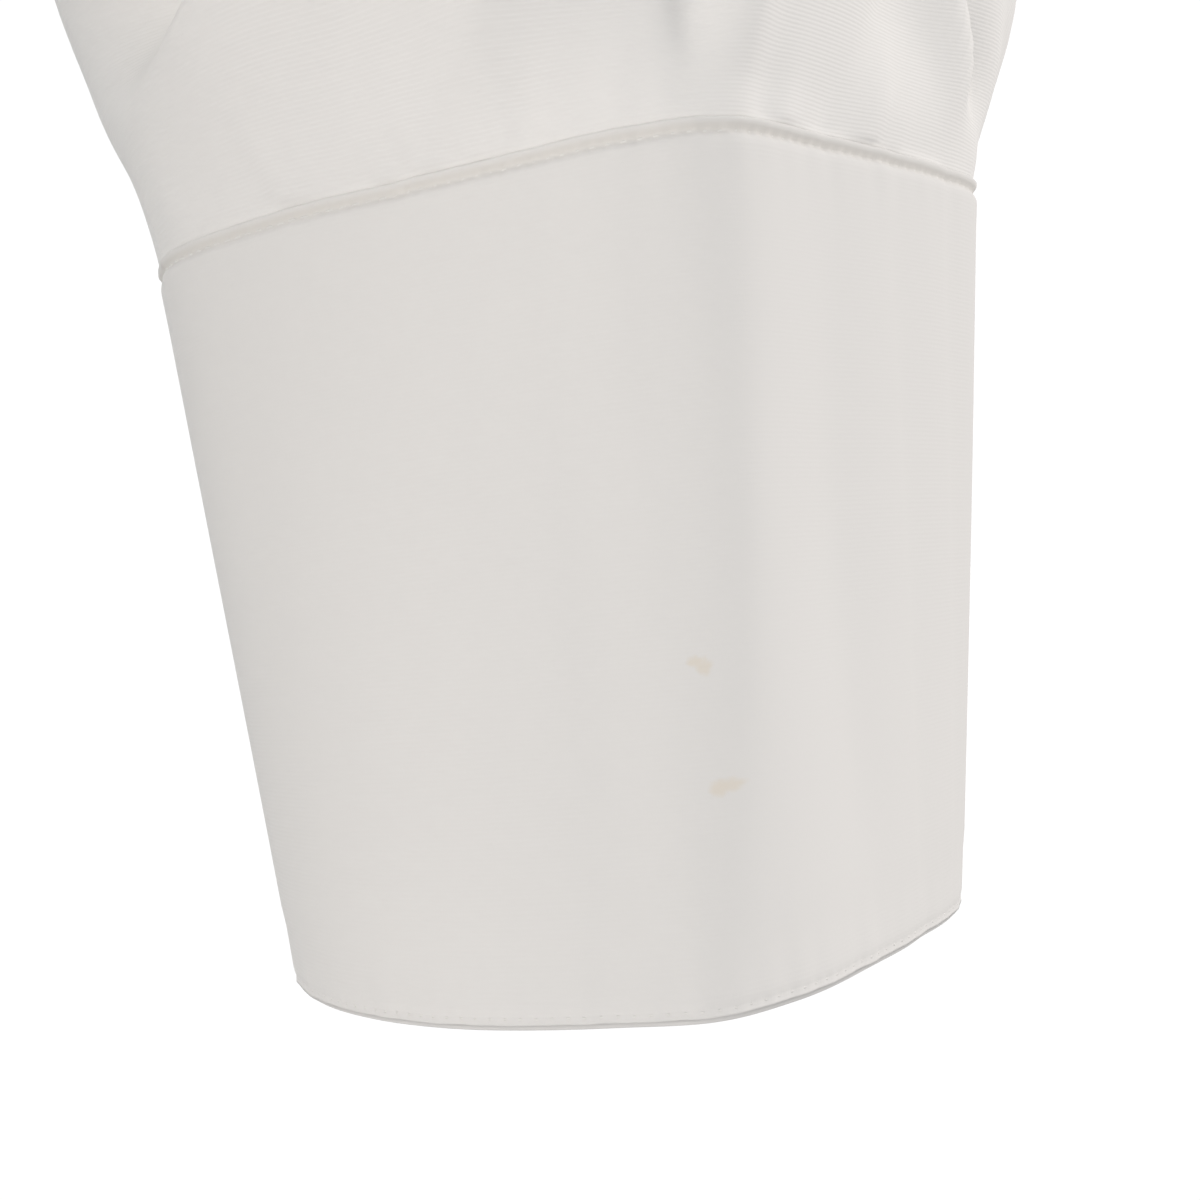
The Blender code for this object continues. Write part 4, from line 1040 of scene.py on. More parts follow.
RIGHT_FOLDS = rows_of(
    Fold,
    (134, 70, 30, 42, 14, -5.5), (226, 92, -36, 40, 14, -6), (54, 125, 14, 60, 16, 5),
    (306, 105, -18, 55, 16, 4), (108, 326, 74, 44, 14, -7), (84, 364, 60, 45, 15, -7),
    (134, 398, 80, 36, 14, -5), (276, 340, 80, 42, 18, 5.5), (22, 452, 18, 62, 14, -5.5),
    (180, 438, -16, 58, 15, 5), (240, 484, 18, 50, 14, -5), (150, 549, 62, 30, 11, 5.5),
    (96, 540, -6, 26, 11, -4), (44, 546, 14, 24, 11, 4), (346, 550, -10, 22, 10, -3.5),
    (258, 544, 8, 26, 11, 4.5),
)

# %% Creases of the left sleeve
LEFT_CREASES = rows_of(
    Crease,
    # drag lines under the arm
    (112, 48, 48, 34, 5, 2.4, 3), (134, 98, 38, 45, 5, -2.2, -2), (96, 118, 30, 50, 5.5, 2.4, 2),
    (236, 56, -46, 36, 5, 2.4, -3), (212, 112, -36, 45, 5, -2.2, 2),
    (262, 134, -28, 50, 5.5, 2, -2),
    # upper arm
    (22, 165, 12, 60, 6, 1.8, 1), (338, 205, -10, 60, 6, -1.8, -1),
    (74, 205, 22, 55, 5.5, -2.2, 1.5), (152, 200, -24, 50, 5.5, 2.4, -1.4),
    (300, 245, -16, 50, 5.5, 2.2, 1.2), (186, 255, 20, 45, 5.5, -2, 1.4),
    (46, 268, 28, 40, 5, 2.2, -1.8),
    # inside the elbow
    (92, 302, 62, 38, 4.8, 3, 4), (117, 338, 78, 36, 4.5, 3.4, -3), (104, 376, 70, 38, 4.5, 3, 3),
    (76, 334, 50, 34, 5, -2.6, -3), (141, 314, 84, 30, 4.8, 2.6, 4),
    (136, 394, 86, 30, 4.8, -2.4, -3), (64, 412, 44, 38, 5.2, 2.6, 3),
    (162, 356, -70, 30, 5, 2.2, 3),
    # over the elbow
    (282, 326, 80, 28, 5, 2, -3), (270, 372, 72, 30, 5, -1.8, 2), (302, 352, -78, 26, 5, 1.6, 3),
    # forearm
    (20, 400, 18, 40, 5.2, 2.2, 1.5), (330, 440, -14, 45, 5.2, 2.2, -1.2),
    (196, 430, 24, 40, 5.2, 2.4, 1.6), (110, 450, 30, 40, 5.2, -2.4, 1.4),
    (80, 486, 20, 36, 5, 2.2, -1.4), (224, 500, -22, 36, 5, 2.4, 1.6),
    (150, 492, -12, 40, 5.2, -2, 1.2), (12, 500, 10, 36, 5, -2, 1.5),
    (262, 520, 14, 30, 4.8, 2.2, -2), (340, 528, -10, 28, 4.5, 2.2, 2),
    (128, 560, 58, 14, 4, 0.7, 6), (150, 556, 66, 12, 3.6, -0.6, -6),
    (62, 554, 30, 12, 3.6, -0.7, 3), (296, 552, 16, 14, 3.2, 1.4, -3),
    (236, 556, -14, 12, 3, -1.4, 3),
)

# %% Creases of the right sleeve
RIGHT_CREASES = rows_of(
    Crease,
    (118, 50, 44, 36, 5, 2.6, -3), (140, 88, 34, 45, 5, -2.2, 2), (92, 106, 26, 50, 5.5, 2.2, -2),
    (230, 60, -42, 36, 5, 2.2, 3), (206, 120, -32, 45, 5, -2.2, -2),
    (268, 126, -24, 50, 5.5, 2.2, 2), (14, 185, 10, 60, 6, 2, -1), (344, 175, -12, 55, 6, -1.8, 1),
    (68, 220, 26, 50, 5.5, -2.2, -1.5), (158, 185, -20, 50, 5.5, 2.4, 1.4),
    (292, 230, -20, 50, 5.5, 2.2, -1.2), (180, 270, 24, 45, 5.5, -2, -1.4),
    (100, 296, 66, 36, 4.8, 3, -4), (122, 350, 74, 36, 4.5, 3.2, 3),
    (94, 386, 64, 36, 4.5, 2.8, -3), (72, 348, 46, 34, 5, -2.6, 3),
    (146, 326, 82, 30, 4.8, 2.6, -4), (130, 412, 80, 30, 4.8, -2.4, 3),
    (58, 420, 40, 38, 5.2, 2.6, -3), (166, 372, -66, 30, 5, 2.2, -3), (278, 318, 78, 28, 5, 2, 3),
    (266, 360, 70, 30, 5, -1.8, -2), (26, 410, 22, 40, 5.2, 2.2, -1.5),
    (324, 430, -18, 45, 5.2, 2.2, 1.2), (204, 420, 20, 40, 5.2, 2.4, -1.6),
    (104, 460, 34, 40, 5.2, -2.4, -1.4), (74, 494, 24, 36, 5, 2.2, 1.4),
    (230, 510, -18, 36, 5, 2.4, -1.6), (176, 496, -14, 40, 5.2, -2.2, 1),
    (6, 490, 12, 36, 5, -2, -1.5), (120, 520, 20, 28, 4.6, 2.2, 2),
    (330, 530, -14, 26, 4.5, 2.2, -2), (200, 540, 26, 24, 4.5, 2, 2),
    (36, 560, -20, 14, 2.8, 1.4, 2), (108, 562, 10, 12, 3, -1.2, -3),
    (168, 556, 40, 14, 3.6, 1.2, 4), (250, 558, -12, 12, 3, -1.3, 2),
)

# %% Gathers that the cuffs' seams pull in: short dimples that end at the cuff
LEFT_GATHERS = rows_of(
    Crease,
    (184, 570.5, 6, 4.5, 1.4, -0.5), (176, 569, -10, 6, 1.6, 0.4), (164, 570, 8, 4, 1.6, -0.4),
    (146, 569.5, -6, 5, 2, 0.3), (117, 570, 12, 4.5, 1.8, -0.4), (70.5, 569, 4, 4, 2.2, -0.3),
    (60, 568.5, -12, 6, 1.8, 0.6), (51, 569, 10, 4.5, 1.6, -0.3), (42.5, 569, 0, 5.5, 2, -0.5),
    (15, 569, -8, 6, 2.2, -0.7), (345, 568.5, 10, 7, 2.2, 0.7), (270, 569, -6, 6, 2, -0.7),
    (243, 569.5, 8, 5, 2, 0.6), (215, 569, -8, 6, 2, -0.6),
)
RIGHT_GATHERS = rows_of(
    Crease,
    (190, 569.5, -6, 5, 1.8, -0.6), (158, 569, 10, 6, 2, 0.5), (132, 570, -8, 4.5, 1.8, -0.6),
    (104, 569, 4, 6, 2.2, -0.7), (82, 570, -10, 4.5, 1.8, 0.5), (58, 569, 8, 5.5, 2, -0.8),
    (28, 569, -4, 6, 2.2, 0.6), (352, 569.5, 8, 5, 2, -0.7), (262, 569, -10, 6, 2.2, -0.7),
    (228, 569, 6, 5.5, 2, 0.6),
)

ARM_FOLDS = {
    1: (LEFT_FOLDS, LEFT_CREASES, LEFT_GATHERS),
    -1: (RIGHT_FOLDS, RIGHT_CREASES, RIGHT_GATHERS),
}

# %% [markdown]
# ## Cuffs
#
# A cuff is a strip of two layers and an interlining, buttoned into a tube. It has pressed
# rounded edges, and an edge stitch that pulls a groove about a millimetre in from them.
# The sleeve goes in between its layers at the top. So a cuff is drawn as one closed
# profile, with a slot for the sleeve, carried round the wrist from its under end to its
# upper end.

# %% The cuff's form
Radius = namedtuple("Radius", "turn upper lower")  # millimetres
CUFF = tuple(map(Radius._make, (
    (0, 38.5, 34.6), (20, 43.8, 34.9), (32, 43.8, 34.4), (43, 39.4, 32.6), (57, 34.9, 30.3),
    (75, 32.5, 30.0), (95, 31.9, 31.3), (110, 29.3, 32.1), (125, 26.0, 31.2), (140, 24.6, 30.8),
    (155, 25.2, 31.2), (170, 28.4, 32.2), (185, 33.3, 33.7), (204, 41.7, 35.4), (216, 43.6, 36.0),
    (240, 38.0, 36.5), (270, 32.0, 34.8), (300, 30.0, 33.5), (330, 32.0, 33.6),
)))
CUFF_TOP = np.array((0.3268, -0.0178, -0.5752))  # centre of the left cuff's upper edge
FOREARM_UP = np.array((-0.0862, 0.0598, 0.9945))  # from the wrist to the elbow
FOREARM_OUT = unit(np.array((1.0, 0, 0)) - FOREARM_UP[0] * FOREARM_UP)
FOREARM_FRONT = np.cross(FOREARM_OUT, FOREARM_UP)
CUFF_DEPTH = 75 * MM
CUFF_OVERLAP = 36.0  # degrees of buttoned overlap, centred on the slit
CUFF_EASE = 30.0  # degrees over which the lower end comes level again
CUFF_CORNER = 12 * MM  # radius of the rounded lower corners
CUFF_UNDER = 2.1 * MM  # the under end lies this far inside the upper end
CUFF_START = SLIT_TURN - CUFF_OVERLAP / 2
CUFF_STOP = SLIT_TURN + 360 + CUFF_OVERLAP / 2
LIP = 0.38 * MM  # the cuff's outer layer at its upper edge
SLOT = 0.50 * MM  # and the slot behind it, for the sleeve
SLEEVE_STEP = LIP + 0.03 * MM  # the sleeve goes in this far inside the cuff's outer face


def cuff_radius(turn, edge):
    """The cuff's radius in metres at its upper or lower edge, round and round."""
    turns = np.array(column(CUFF, "turn"), float)
    knots = joined(turns - 360, turns, turns + 360)
    return MM * through(knots, np.tile(column(CUFF, edge), 3), np.remainder(np.rad2deg(turn), 360))


def round_forearm(turn):
    """The direction out from the forearm's axis at a turn."""
    return np.cos(turn)[..., None] * FOREARM_OUT + np.sin(turn)[..., None] * FOREARM_FRONT


def cuff_point(turn, down, inset):
    """A point `inset` metres inside the cuff's outer face and `down` below its top edge."""
    upper, lower = cuff_radius(turn, "upper"), cuff_radius(turn, "lower")
    radius = upper + down / CUFF_DEPTH * (lower - upper) - inset
    centre = CUFF_TOP - np.asarray(down)[..., None] * FOREARM_UP
    return centre + radius[..., None] * round_forearm(turn)


def under_inset(past_start):
    """How far inside the strip lies, a number of degrees past its under end."""
    return CUFF_UNDER * (1 - smooth((past_start - CUFF_OVERLAP) / CUFF_EASE))


CUFF_CREASES = {
    1: rows_of(
        Crease,
        # pressed lines down the palm side
        (97, 36, 7.8, 55, 4, 1.1, 0.8), (114, 34, 8, 45, 7.2, -1.3, 0.5),
        (76, 42, -1, 40, 4.2, -0.8, -2.5), (52, 40, 2, 40, 6, 0.5), (152, 30, 8, 40, 10, 0.5),
        (240, 40, 8, 40, 8, 0.6), (350, 35, -8, 40, 8, 0.6),
    ),
    -1: rows_of(
        Crease,
        (110, 20, 8, 34, 6.5, 0.7), (70, 50, -5, 30, 8, 0.5), (165, 40, -8, 40, 9, -0.5),
        (215, 30, 10, 40, 8, 0.6), (20, 45, 6, 40, 8, 0.6),
    ),
}
CUFF_RADIUS = 0.034


def cuff_bend(turn, down, side):
    """How far the whole cuff moves out, with the sleeve's end in it: soft pressed creases,
    and the groove that the stitches at the upper edge pull in."""
    groove = 0.46 * MM * bell(down - 1.05 * MM, 0.48 * MM)
    return crease_height(CUFF_CREASES[side], turn, down, CUFF_RADIUS, crest=1.0) - groove


# %% The sleeve's form
def arm_size(name, along):
    return through(column(SLEEVE, "along"), column(SLEEVE, name), along)


def plain_ring(turn, along):
    """(points, outward directions) of the plain sections, in the x-z plane of the arm."""
    top = np.stack((arm_size("top_x", along), arm_size("top_z", along)), axis=-1)
    bottom = np.stack((arm_size("bottom_x", along), arm_size("bottom_z", along)), axis=-1)
    cosine, sine = np.cos(turn), np.sin(turn)
    depth = np.where(sine > 0, arm_size("front", along), arm_size("back", along))
    upright = (top - bottom) / 2 * cosine[..., None]
    middle = (top + bottom) / 2
    spoke = np.stack((upright[..., 0], -depth * sine, upright[..., 1]), axis=-1)
    centre = np.stack((middle[..., 0], arm_size("centre_y", along), middle[..., 1]), axis=-1)
    return centre + spoke, unit(spoke)


# Waves round the arm, phase and share of the height.
SLEEVE_PUCKERS = (19, 0.4, 0.8), (27, 2.1, 1.0), (38, 4.4, 0.8), (53, 1.3, 0.5)


def puckers(turn, from_seam, side):
    """Small gathers that the cuff's seam holds: unlike waves round the arm, which fade
    out up the sleeve."""
    height = 0
    for waves, phase, share in SLEEVE_PUCKERS:
        height = height + share * np.sin(waves * turn + phase * (2 - side))
    return 0.12 * MM * height * np.exp(-((from_seam / (7 * MM)) ** 1.5))


def sleeve(turn, along, side, lapped=True):
    """The sleeve's outer face, drawn for the left arm: along is 0 at the armhole and
    SLEEVE_END at the cuff's upper edge, and goes on inside the cuff past that. lapped
    follows the cuff's under end, on the side of the slit that is sewn to it."""
    turn, along = np.broadcast_arrays(np.asarray(turn, float), along)
    inside_cuff = np.maximum(along - SLEEVE_END, 0)
    along = np.minimum(along, SLEEVE_END)
    points, out = plain_ring(turn, along)
    at_armhole = torso(*armhole_place(turn, side)) * (side, 1, 1) - (0.3 * MM, 0, 0)
    past_start = np.remainder(np.rad2deg(turn) - CUFF_START, 360)
    under = under_inset(past_start) * (past_start > CUFF_OVERLAP / 2) if lapped else 0
    inset = SLEEVE_STEP + under - cuff_bend(turn, inside_cuff, side)
    at_cuff = cuff_point(turn, inside_cuff, inset)
    from_start = np.clip(1 - along / ARMHOLE_FADE, 0, 1) ** 2
    from_end = np.clip(1 - (SLEEVE_END - along) / CUFF_FADE, 0, 1) ** 2
    first, last = (plain_ring(turn, end + 0 * along)[0] for end in (0, SLEEVE_END))
    points = points + from_start[..., None] * (at_armhole - first)
    points = points + from_end[..., None] * (at_cuff - last)
    folds, creases, gathers = ARM_FOLDS[side]
    to_cuff = SLEEVE_END - along
    free = smooth(along / 0.04) * smooth(to_cuff / 0.016)
    lift = free * fold_height(folds, turn, along, ARM_RADIUS)
    finer = smooth(along / 0.02) * smooth(to_cuff / 0.005)
    lift = lift + finer * crease_height(creases, turn, along, ARM_RADIUS)
    lift = lift + finer * cockle(points, 0.45 * MM)
    gathered = 0.7 * crease_height(gathers, turn, along, ARM_RADIUS, crest=1.0)
    lift = lift + (puckers(turn, to_cuff, side) + gathered) * smooth(to_cuff / (1.0 * MM))
    return points + lift[..., None] * out


# %% The sleeve's grid: finer toward the cuff, with columns at the underarm seam and slit
sleeve_rows = joined(
    np.linspace(0, 0.522, 119),
    np.linspace(0.522, SLEEVE_END - 2.6 * MM, 46)[1:],
    SLEEVE_END - MM * np.array((2.1, 1.65, 1.25, 0.95, 0.7, 0.5, 0.33, 0.2, 0.1, 0.03)),
    SLEEVE_END + MM * np.array((0.03, 0.8, 2, 3.6)),
)
# The seam starts under the arm and winds back behind the wrist, as a worn sleeve's does.
underarm = 180 + 48 * smooth(sleeve_rows / (0.9 * SLEEVE_END))


def degrees_of(shape, turn, rows, metres):
    """Degrees round the ring for a length of cloth beside a turn, on every row."""
    tiny = 0.01
    here = np.deg2rad(turn) + 0 * rows
    step = shape(here + tiny, rows) - shape(here - tiny, rows)
    return np.rad2deg(2 * tiny / np.linalg.norm(step, axis=-1))[:, None] * np.asarray(metres)


def sleeve_columns(shape, rows, count):
    """Turns of a ring from the underarm seam round to it again: the seam's band first,
    then even columns to the slit's two edges, and even columns round to the seam."""
    seam = underarm[:, None]
    band = seam + degrees_of(shape, underarm, rows, SEAM_COLUMNS)
    half = degrees_of(shape, SLIT_TURN, rows, (SLIT_WIDTH / 2,))
    slit = joined(SLIT_TURN - half, SLIT_TURN + half, axis=1)
    last = seam + 360 - degrees_of(shape, underarm, rows, (1.5 * MM, 0.4 * MM))
    to_slit = round(0.16 * count)
    share = np.linspace(0, 1, to_slit + 2)[1:-1]
    first_part = band[:, -1:] + share * (slit[:, :1] - band[:, -1:])
    share = np.linspace(0, 1, count - to_slit + 2)[1:-1]
    second_part = slit[:, 1:] + share * (last[:, :1] - slit[:, 1:])
    turns = joined(band, first_part, slit, second_part, last, axis=1)
    return np.deg2rad(turns), len(SEAM_COLUMNS) + to_slit


def make_sleeve(word, side, count):
    """The ring form on its grid, with the felled underarm seam, and open along the slit."""
    name = f"sleeve_{word}"

    def shape(turn, along):
        return sleeve(turn, along, side)

    turn, slit_column = sleeve_columns(shape, sleeve_rows, count)
    along = np.repeat(sleeve_rows[:, None], turn.shape[1], axis=1)
    points = shape(turn, along)
    from_seam = joined(SEAM_COLUMNS, np.full(turn.shape[1] - len(SEAM_COLUMNS), 1.0))
    band = band_step(from_seam, FELL_WIDTH - 1 * MM) * smooth(from_seam / (0.5 * MM))
    lift = FELL_HEIGHT * band * smooth((SLEEVE_END - along) / (1.5 * MM))
    out = grid_normals(points, ring=True)
    points = points + lift[..., None] * out
    absent = np.zeros((len(sleeve_rows) - 1, turn.shape[1]), bool)
    absent[sleeve_rows[:-1] > SLIT_TOP, slit_column] = True
    seam = (sleeve_rows > 5 * MM) & (sleeve_rows < SLEEVE_END - 2 * MM)
    seams = [(seam, number) for number in (SEAM_ROW_NEAR, SEAM_ROW_FAR)]
    lines = [on_side(side, points[at] + PROUD * out[at], out[at]) for at in seams]
    points = mirrored(points, side)
    if side < 0:  # reversing a ring's columns moves the cell after each column to before it
        absent = np.roll(absent[:, ::-1], -1, axis=1)
    made = shell(name, points, cotton, CLOTH, ring=True, absent=absent)
    sew(name, lines)
    closed = joined(points, points[:, :1], axis=1)
    report_cut(name, closed, SLEEVE_CUT)
    return made


SLEEVE_CUT = (0.480, 0.590)
SLEEVE_COLUMNS = {"left": 256, "right": 190}
sleeves = {word: make_sleeve(word, side, SLEEVE_COLUMNS[word]) for word, side in SIDES.items()}

# %% The cuff's closed profile
ROUND = LIP / 2  # the lip's own rounding
# Each point is (share of the depth, metres added to it, inset): the slot's outer wall
# from its bottom up, over the lip, down the outer face, round the lower edge, up the
# inner face, over the inner lip and down the slot's inner wall.
near_edge = MM * np.array(
    (0.36, 0.55, 0.75, 0.95, 1.12, 1.3, 1.48, 1.65, 1.9, 2.3, 2.9, 3.7, 4.7, 6.0, 8.0, 10.5)
)
INNER_LIP = CUFF_THICK - LIP - SLOT


def arc_of(degrees, middle, radius):
    """(metres down, inset) round a half circle about `middle`, for rounded edges."""
    angle = np.deg2rad(np.asarray(degrees))
    return middle[0] - radius * np.sin(angle), middle[1] + radius * np.cos(angle)


def profile_part(share, added, inset):
    share, added, inset = np.broadcast_arrays(share, np.asarray(added, float), inset)
    return np.stack((share, added, inset), axis=1)


lip_top = arc_of((0, 30, 60, 90, 120, 150), (ROUND, ROUND), ROUND)
inner_top = arc_of((0, 45, 90, 135), (INNER_LIP / 2, CUFF_THICK - INNER_LIP / 2), INNER_LIP / 2)
half_thick = CUFF_THICK / 2
lower = arc_of((202, 225, 247, 270, 293, 315, 338), (-half_thick, half_thick), half_thick)
MIDDLE_ROWS = 15
OUTER_FACE = 4 + len(lip_top[0])  # the profile's first point on the outer face
OUTER_ROWS = 2 * len(near_edge) - 1 + MIDDLE_ROWS
profile = joined(
    profile_part(0, MM * np.array((5.0, 3.6, 2.2, 1.0)), LIP),
    profile_part(0, *lip_top),
    profile_part(0, near_edge, 0),
    profile_part(np.linspace(0.185, 0.815, MIDDLE_ROWS), 0, 0),
    profile_part(1, -near_edge[::-1][:-1], 0),
    profile_part(1, *lower),
    profile_part(1, -MM * np.array((0.9, 1.3, 1.8, 3.0, 6.0)), CUFF_THICK),
    profile_part(np.linspace(0.85, 0.15, 8), 0, CUFF_THICK),
    profile_part(0, MM * np.array((6.0, 3.0, 1.8, 1.3, 0.8)), CUFF_THICK),
    profile_part(0, *inner_top),
    profile_part(0, MM * np.array((1.0, 2.2, 3.6, 5.0)), LIP + SLOT),
)
print(len(profile), "points round a cuff's profile")

# %% The cuff's outer face: edges, stitch grooves and puckers
CUFF_ALLOWANCE = 7.5 * MM  # inside, the seam allowances end this far above the lower edge
ALLOWANCE_STEP = 0.10 * MM  # and leave this step on the outer face
CUFF_GROOVE = 0.10 * MM  # depth of the groove along the sides and the lower edge
DENTS = {"upper": 0.16 * MM, "lower": 0.07 * MM}  # depth of the dents at the stitches' ends
PUCKER_HEIGHT = 0.03 * MM
CUFF_PUCKERS = (9.1, 0.0), (6.3, 1.7), (4.9, 3.9), (3.3, 5.1)  # wavelength in mm, and phase
slit_radius = float(cuff_radius(np.deg2rad(SLIT_TURN), "lower"))
METRES_A_DEGREE = slit_radius * np.pi / 180
top_turns = np.linspace(CUFF_START, CUFF_STOP, 4000)
top_way = round_forearm(np.deg2rad(top_turns))[:, None, :2]
top_line = {
    edge: along_grid(top_way * cuff_radius(np.deg2rad(top_turns), edge)[:, None, None], 0)[:, 0]
    for edge in ("upper", "lower")
}


def from_end(degrees):
    """Metres of cloth from the strip's nearer end."""
    return np.minimum(degrees - CUFF_START, CUFF_STOP - degrees) * METRES_A_DEGREE


def cuff_reach(degrees):
    """The strip's depth in metres, less in its rounded corners."""
    into_corner = np.clip(CUFF_CORNER - from_end(degrees), 0, CUFF_CORNER)
    return CUFF_DEPTH - CUFF_CORNER + np.sqrt(CUFF_CORNER**2 - into_corner**2)


def edge_distance(degrees, down):
    """Metres from the strip's nearest edge, round its corners too."""
    aside, below = from_end(degrees), CUFF_DEPTH - down
    corner = CUFF_CORNER - np.hypot(CUFF_CORNER - aside, CUFF_CORNER - below)
    in_corner = (aside < CUFF_CORNER) & (below < CUFF_CORNER)
    return np.minimum(np.where(in_corner, corner, np.minimum(aside, below)), down)


def cuff_relief(degrees, down, side):
    """How far the outer face stands out: a groove under the edge stitch, with a dent at
    the end of each stitch, and small puckers beside it."""
    edge = edge_distance(degrees, down)
    height = -CUFF_GROOVE * bell(edge - CUFF_STITCH, 0.5 * MM) * smooth((down - edge) / MM)
    past_allowance = CUFF_ALLOWANCE - (CUFF_DEPTH - down)
    height = height - ALLOWANCE_STEP * smooth(past_allowance / (1.5 * MM))
    for half, near in (("upper", down), ("lower", CUFF_DEPTH - down)):
        arc = np.interp(degrees, top_turns, top_line[half])
        stitches = round(top_line[half][-1] / CUFF_PITCH)
        dent = 0.5 + 0.5 * np.cos(2 * np.pi * stitches * arc / top_line[half][-1])
        height = height - DENTS[half] * dent * bell(near - CUFF_STITCH, 0.45 * MM)
        for length, phase in CUFF_PUCKERS:
            wave = np.sin(2 * np.pi * arc / (length * MM) + phase * (2 + side))
            height = height + PUCKER_HEIGHT * wave * bell(near - CUFF_STITCH, 4.5 * MM)
    return height


def cuff_face(degrees, down, side):
    """The outer face itself, at degrees round from CUFF_START and metres down."""
    turn = np.deg2rad(degrees)
    inset = under_inset(degrees - CUFF_START) - cuff_relief(degrees, down, side)
    return cuff_point(turn, down, inset - cuff_bend(turn, down, side))


# %% The cuff's grid
def cuff_columns(fine, coarse=0.8 * MM):
    """Degrees along the strip: close at both ends, fine over the palm side and the arm's
    inner side, and coarser elsewhere. fine and coarse are in metres."""
    end = MM * np.array((0, 0.05, 0.16, 0.34, 0.6, 0.92, 1.12, 1.3, 1.5, 1.9, 2.6))
    end = end / METRES_A_DEGREE
    first, last = CUFF_START + end, CUFF_STOP - end[::-1]
    fine_from, fine_to = 372.0, 602.0
    parts = [first]
    marks = first[-1], fine_from, fine_to, last[0]
    for start, stop, spacing in zip(marks, marks[1:], (coarse, fine, coarse)):
        steps = round((stop - start) * METRES_A_DEGREE / spacing)
        parts.append(np.linspace(start, stop, steps + 1)[1:])
    return joined(*parts, last[1:])


def profile_corners(rows, columns):
    """The (rows, columns) of the corners of each face round a closed profile's grid: the
    quads, where the row past the last is the first again, and then the two end faces."""
    r, c = (item.reshape(-1) for item in np.indices((rows, columns - 1)))
    end = np.arange(rows)[None]
    return (
        (np.stack((r, r, r + 1, r + 1), axis=1), np.stack((c, c + 1, c + 1, c), axis=1)),
        (end, 0 * end),
        (end[:, ::-1], 0 * end + columns - 1),
    )


def make_cuff(word, side, fine):
    """The profile carried along the strip. At both ends it thins to a rounded edge, and
    the slot closes."""
    name = f"cuff_{word}"
    degrees = cuff_columns(fine)
    share, added, inset = (profile[:, i, None] for i in range(3))
    aside = np.maximum(from_end(degrees), 0)
    in_slot = (inset > 0.9 * LIP) & (inset < LIP + 1.1 * SLOT)
    slot_point = (share == 0) & in_slot & (added > 0.9 * MM)
    shallow = smooth((aside - 1.0 * MM) / (3 * MM)) * 0.95 + 0.05
    added = np.where(slot_point, 0.9 * MM + (added - 0.9 * MM) * shallow, added)
    down = share * cuff_reach(degrees) + added
    rounding = np.sqrt(1 - np.clip(1 - aside / (CUFF_THICK / 2), 0, 0.985) ** 2)
    middle = CUFF_THICK / 2
    turn = np.deg2rad(degrees) + 0 * down
    outer_face = np.clip(1 - inset / LIP, 0, 1)
    relief = cuff_relief(degrees + 0 * down, down, side) * outer_face
    depth = middle + (inset - middle) * rounding + under_inset(degrees - CUFF_START) - relief
    points = cuff_point(turn, down, depth - cuff_bend(turn, down, side)) * (side, 1, 1)
    u = np.interp(degrees, top_turns, top_line["lower"])
    v = np.append(along_grid(points[:, len(degrees) // 2][:, None], 0)[:, 0], 0)
    v[-1] = v[-2] + CUFF_THICK
    v = v - v[OUTER_FACE]
    faces, corner_uv = [], []
    for r, c in profile_corners(*points.shape[:2]):
        faces += (r % len(points) * len(degrees) + c)[:, ::side].tolist()
        corner_uv.append(np.stack((u[c], v[r]), axis=-1)[:, ::side].reshape(-1, 2))
    corner_uv = np.concatenate(corner_uv)
    made = add_mesh(f"{name}_cloth", points.reshape(-1, 3), faces, corner_uv, cuff_cotton[side])
    sew(name, [cuff_stitch_line(side)], CUFF_PITCH, 0.12 * MM)
    report_cut(name, points[OUTER_FACE : OUTER_FACE + OUTER_ROWS], CUFF_CUT)
    return made


# %% The cuff's line of stitches
def cuff_stitch_line(side):
    """One closed line of stitches round the strip, CUFF_STITCH in from its edges."""
    inner = CUFF_CORNER - CUFF_STITCH
    quarter = np.deg2rad(np.linspace(0, 90, 16))
    aside = (CUFF_CORNER - inner * np.cos(quarter)) / METRES_A_DEGREE
    corner_down = CUFF_DEPTH - CUFF_CORNER + inner * np.sin(quarter)
    start = CUFF_START + CUFF_STITCH / METRES_A_DEGREE
    stop = CUFF_STOP - CUFF_STITCH / METRES_A_DEGREE
    upright = np.linspace(CUFF_STITCH, CUFF_DEPTH - CUFF_CORNER, 60)
    first_corner, last_corner = CUFF_START + aside, (CUFF_STOP - aside)[::-1]
    runs = (
        (start, upright),
        (first_corner, corner_down),
        (np.linspace(first_corner[-1], last_corner[0], 900), CUFF_DEPTH - CUFF_STITCH),
        (last_corner, corner_down[::-1]),
        (stop, upright[::-1]),
        (np.linspace(start, stop, 900)[::-1], CUFF_STITCH),
    )
    degrees, down = np.concatenate([np.stack(np.broadcast_arrays(*run)) for run in runs], axis=1)
    keep = np.append(True, np.hypot(np.diff(degrees), np.diff(down) * 2000) > 1e-3)
    degrees, down = degrees[keep], down[keep]
    out = normals(lambda d, w: cuff_point(np.deg2rad(d), w, 0.0), degrees, down, (0.5, 0.001))
    points = cuff_face(degrees, down, side) - 0.05 * MM * out
    return points * (side, 1, 1), out * (side, 1, 1)


# %% The two cuffs, with their stains, and painted shade in the groove under the upper edge
def cuff_spot(degrees, down, half_width, half_length):
    """A stain on a cuff's UV map, from its place on the strip. Lengths are in mm."""
    u = float(np.interp(degrees, top_turns, top_line["lower"]))
    return u, MM * down - ROUND, MM * half_width, MM * half_length


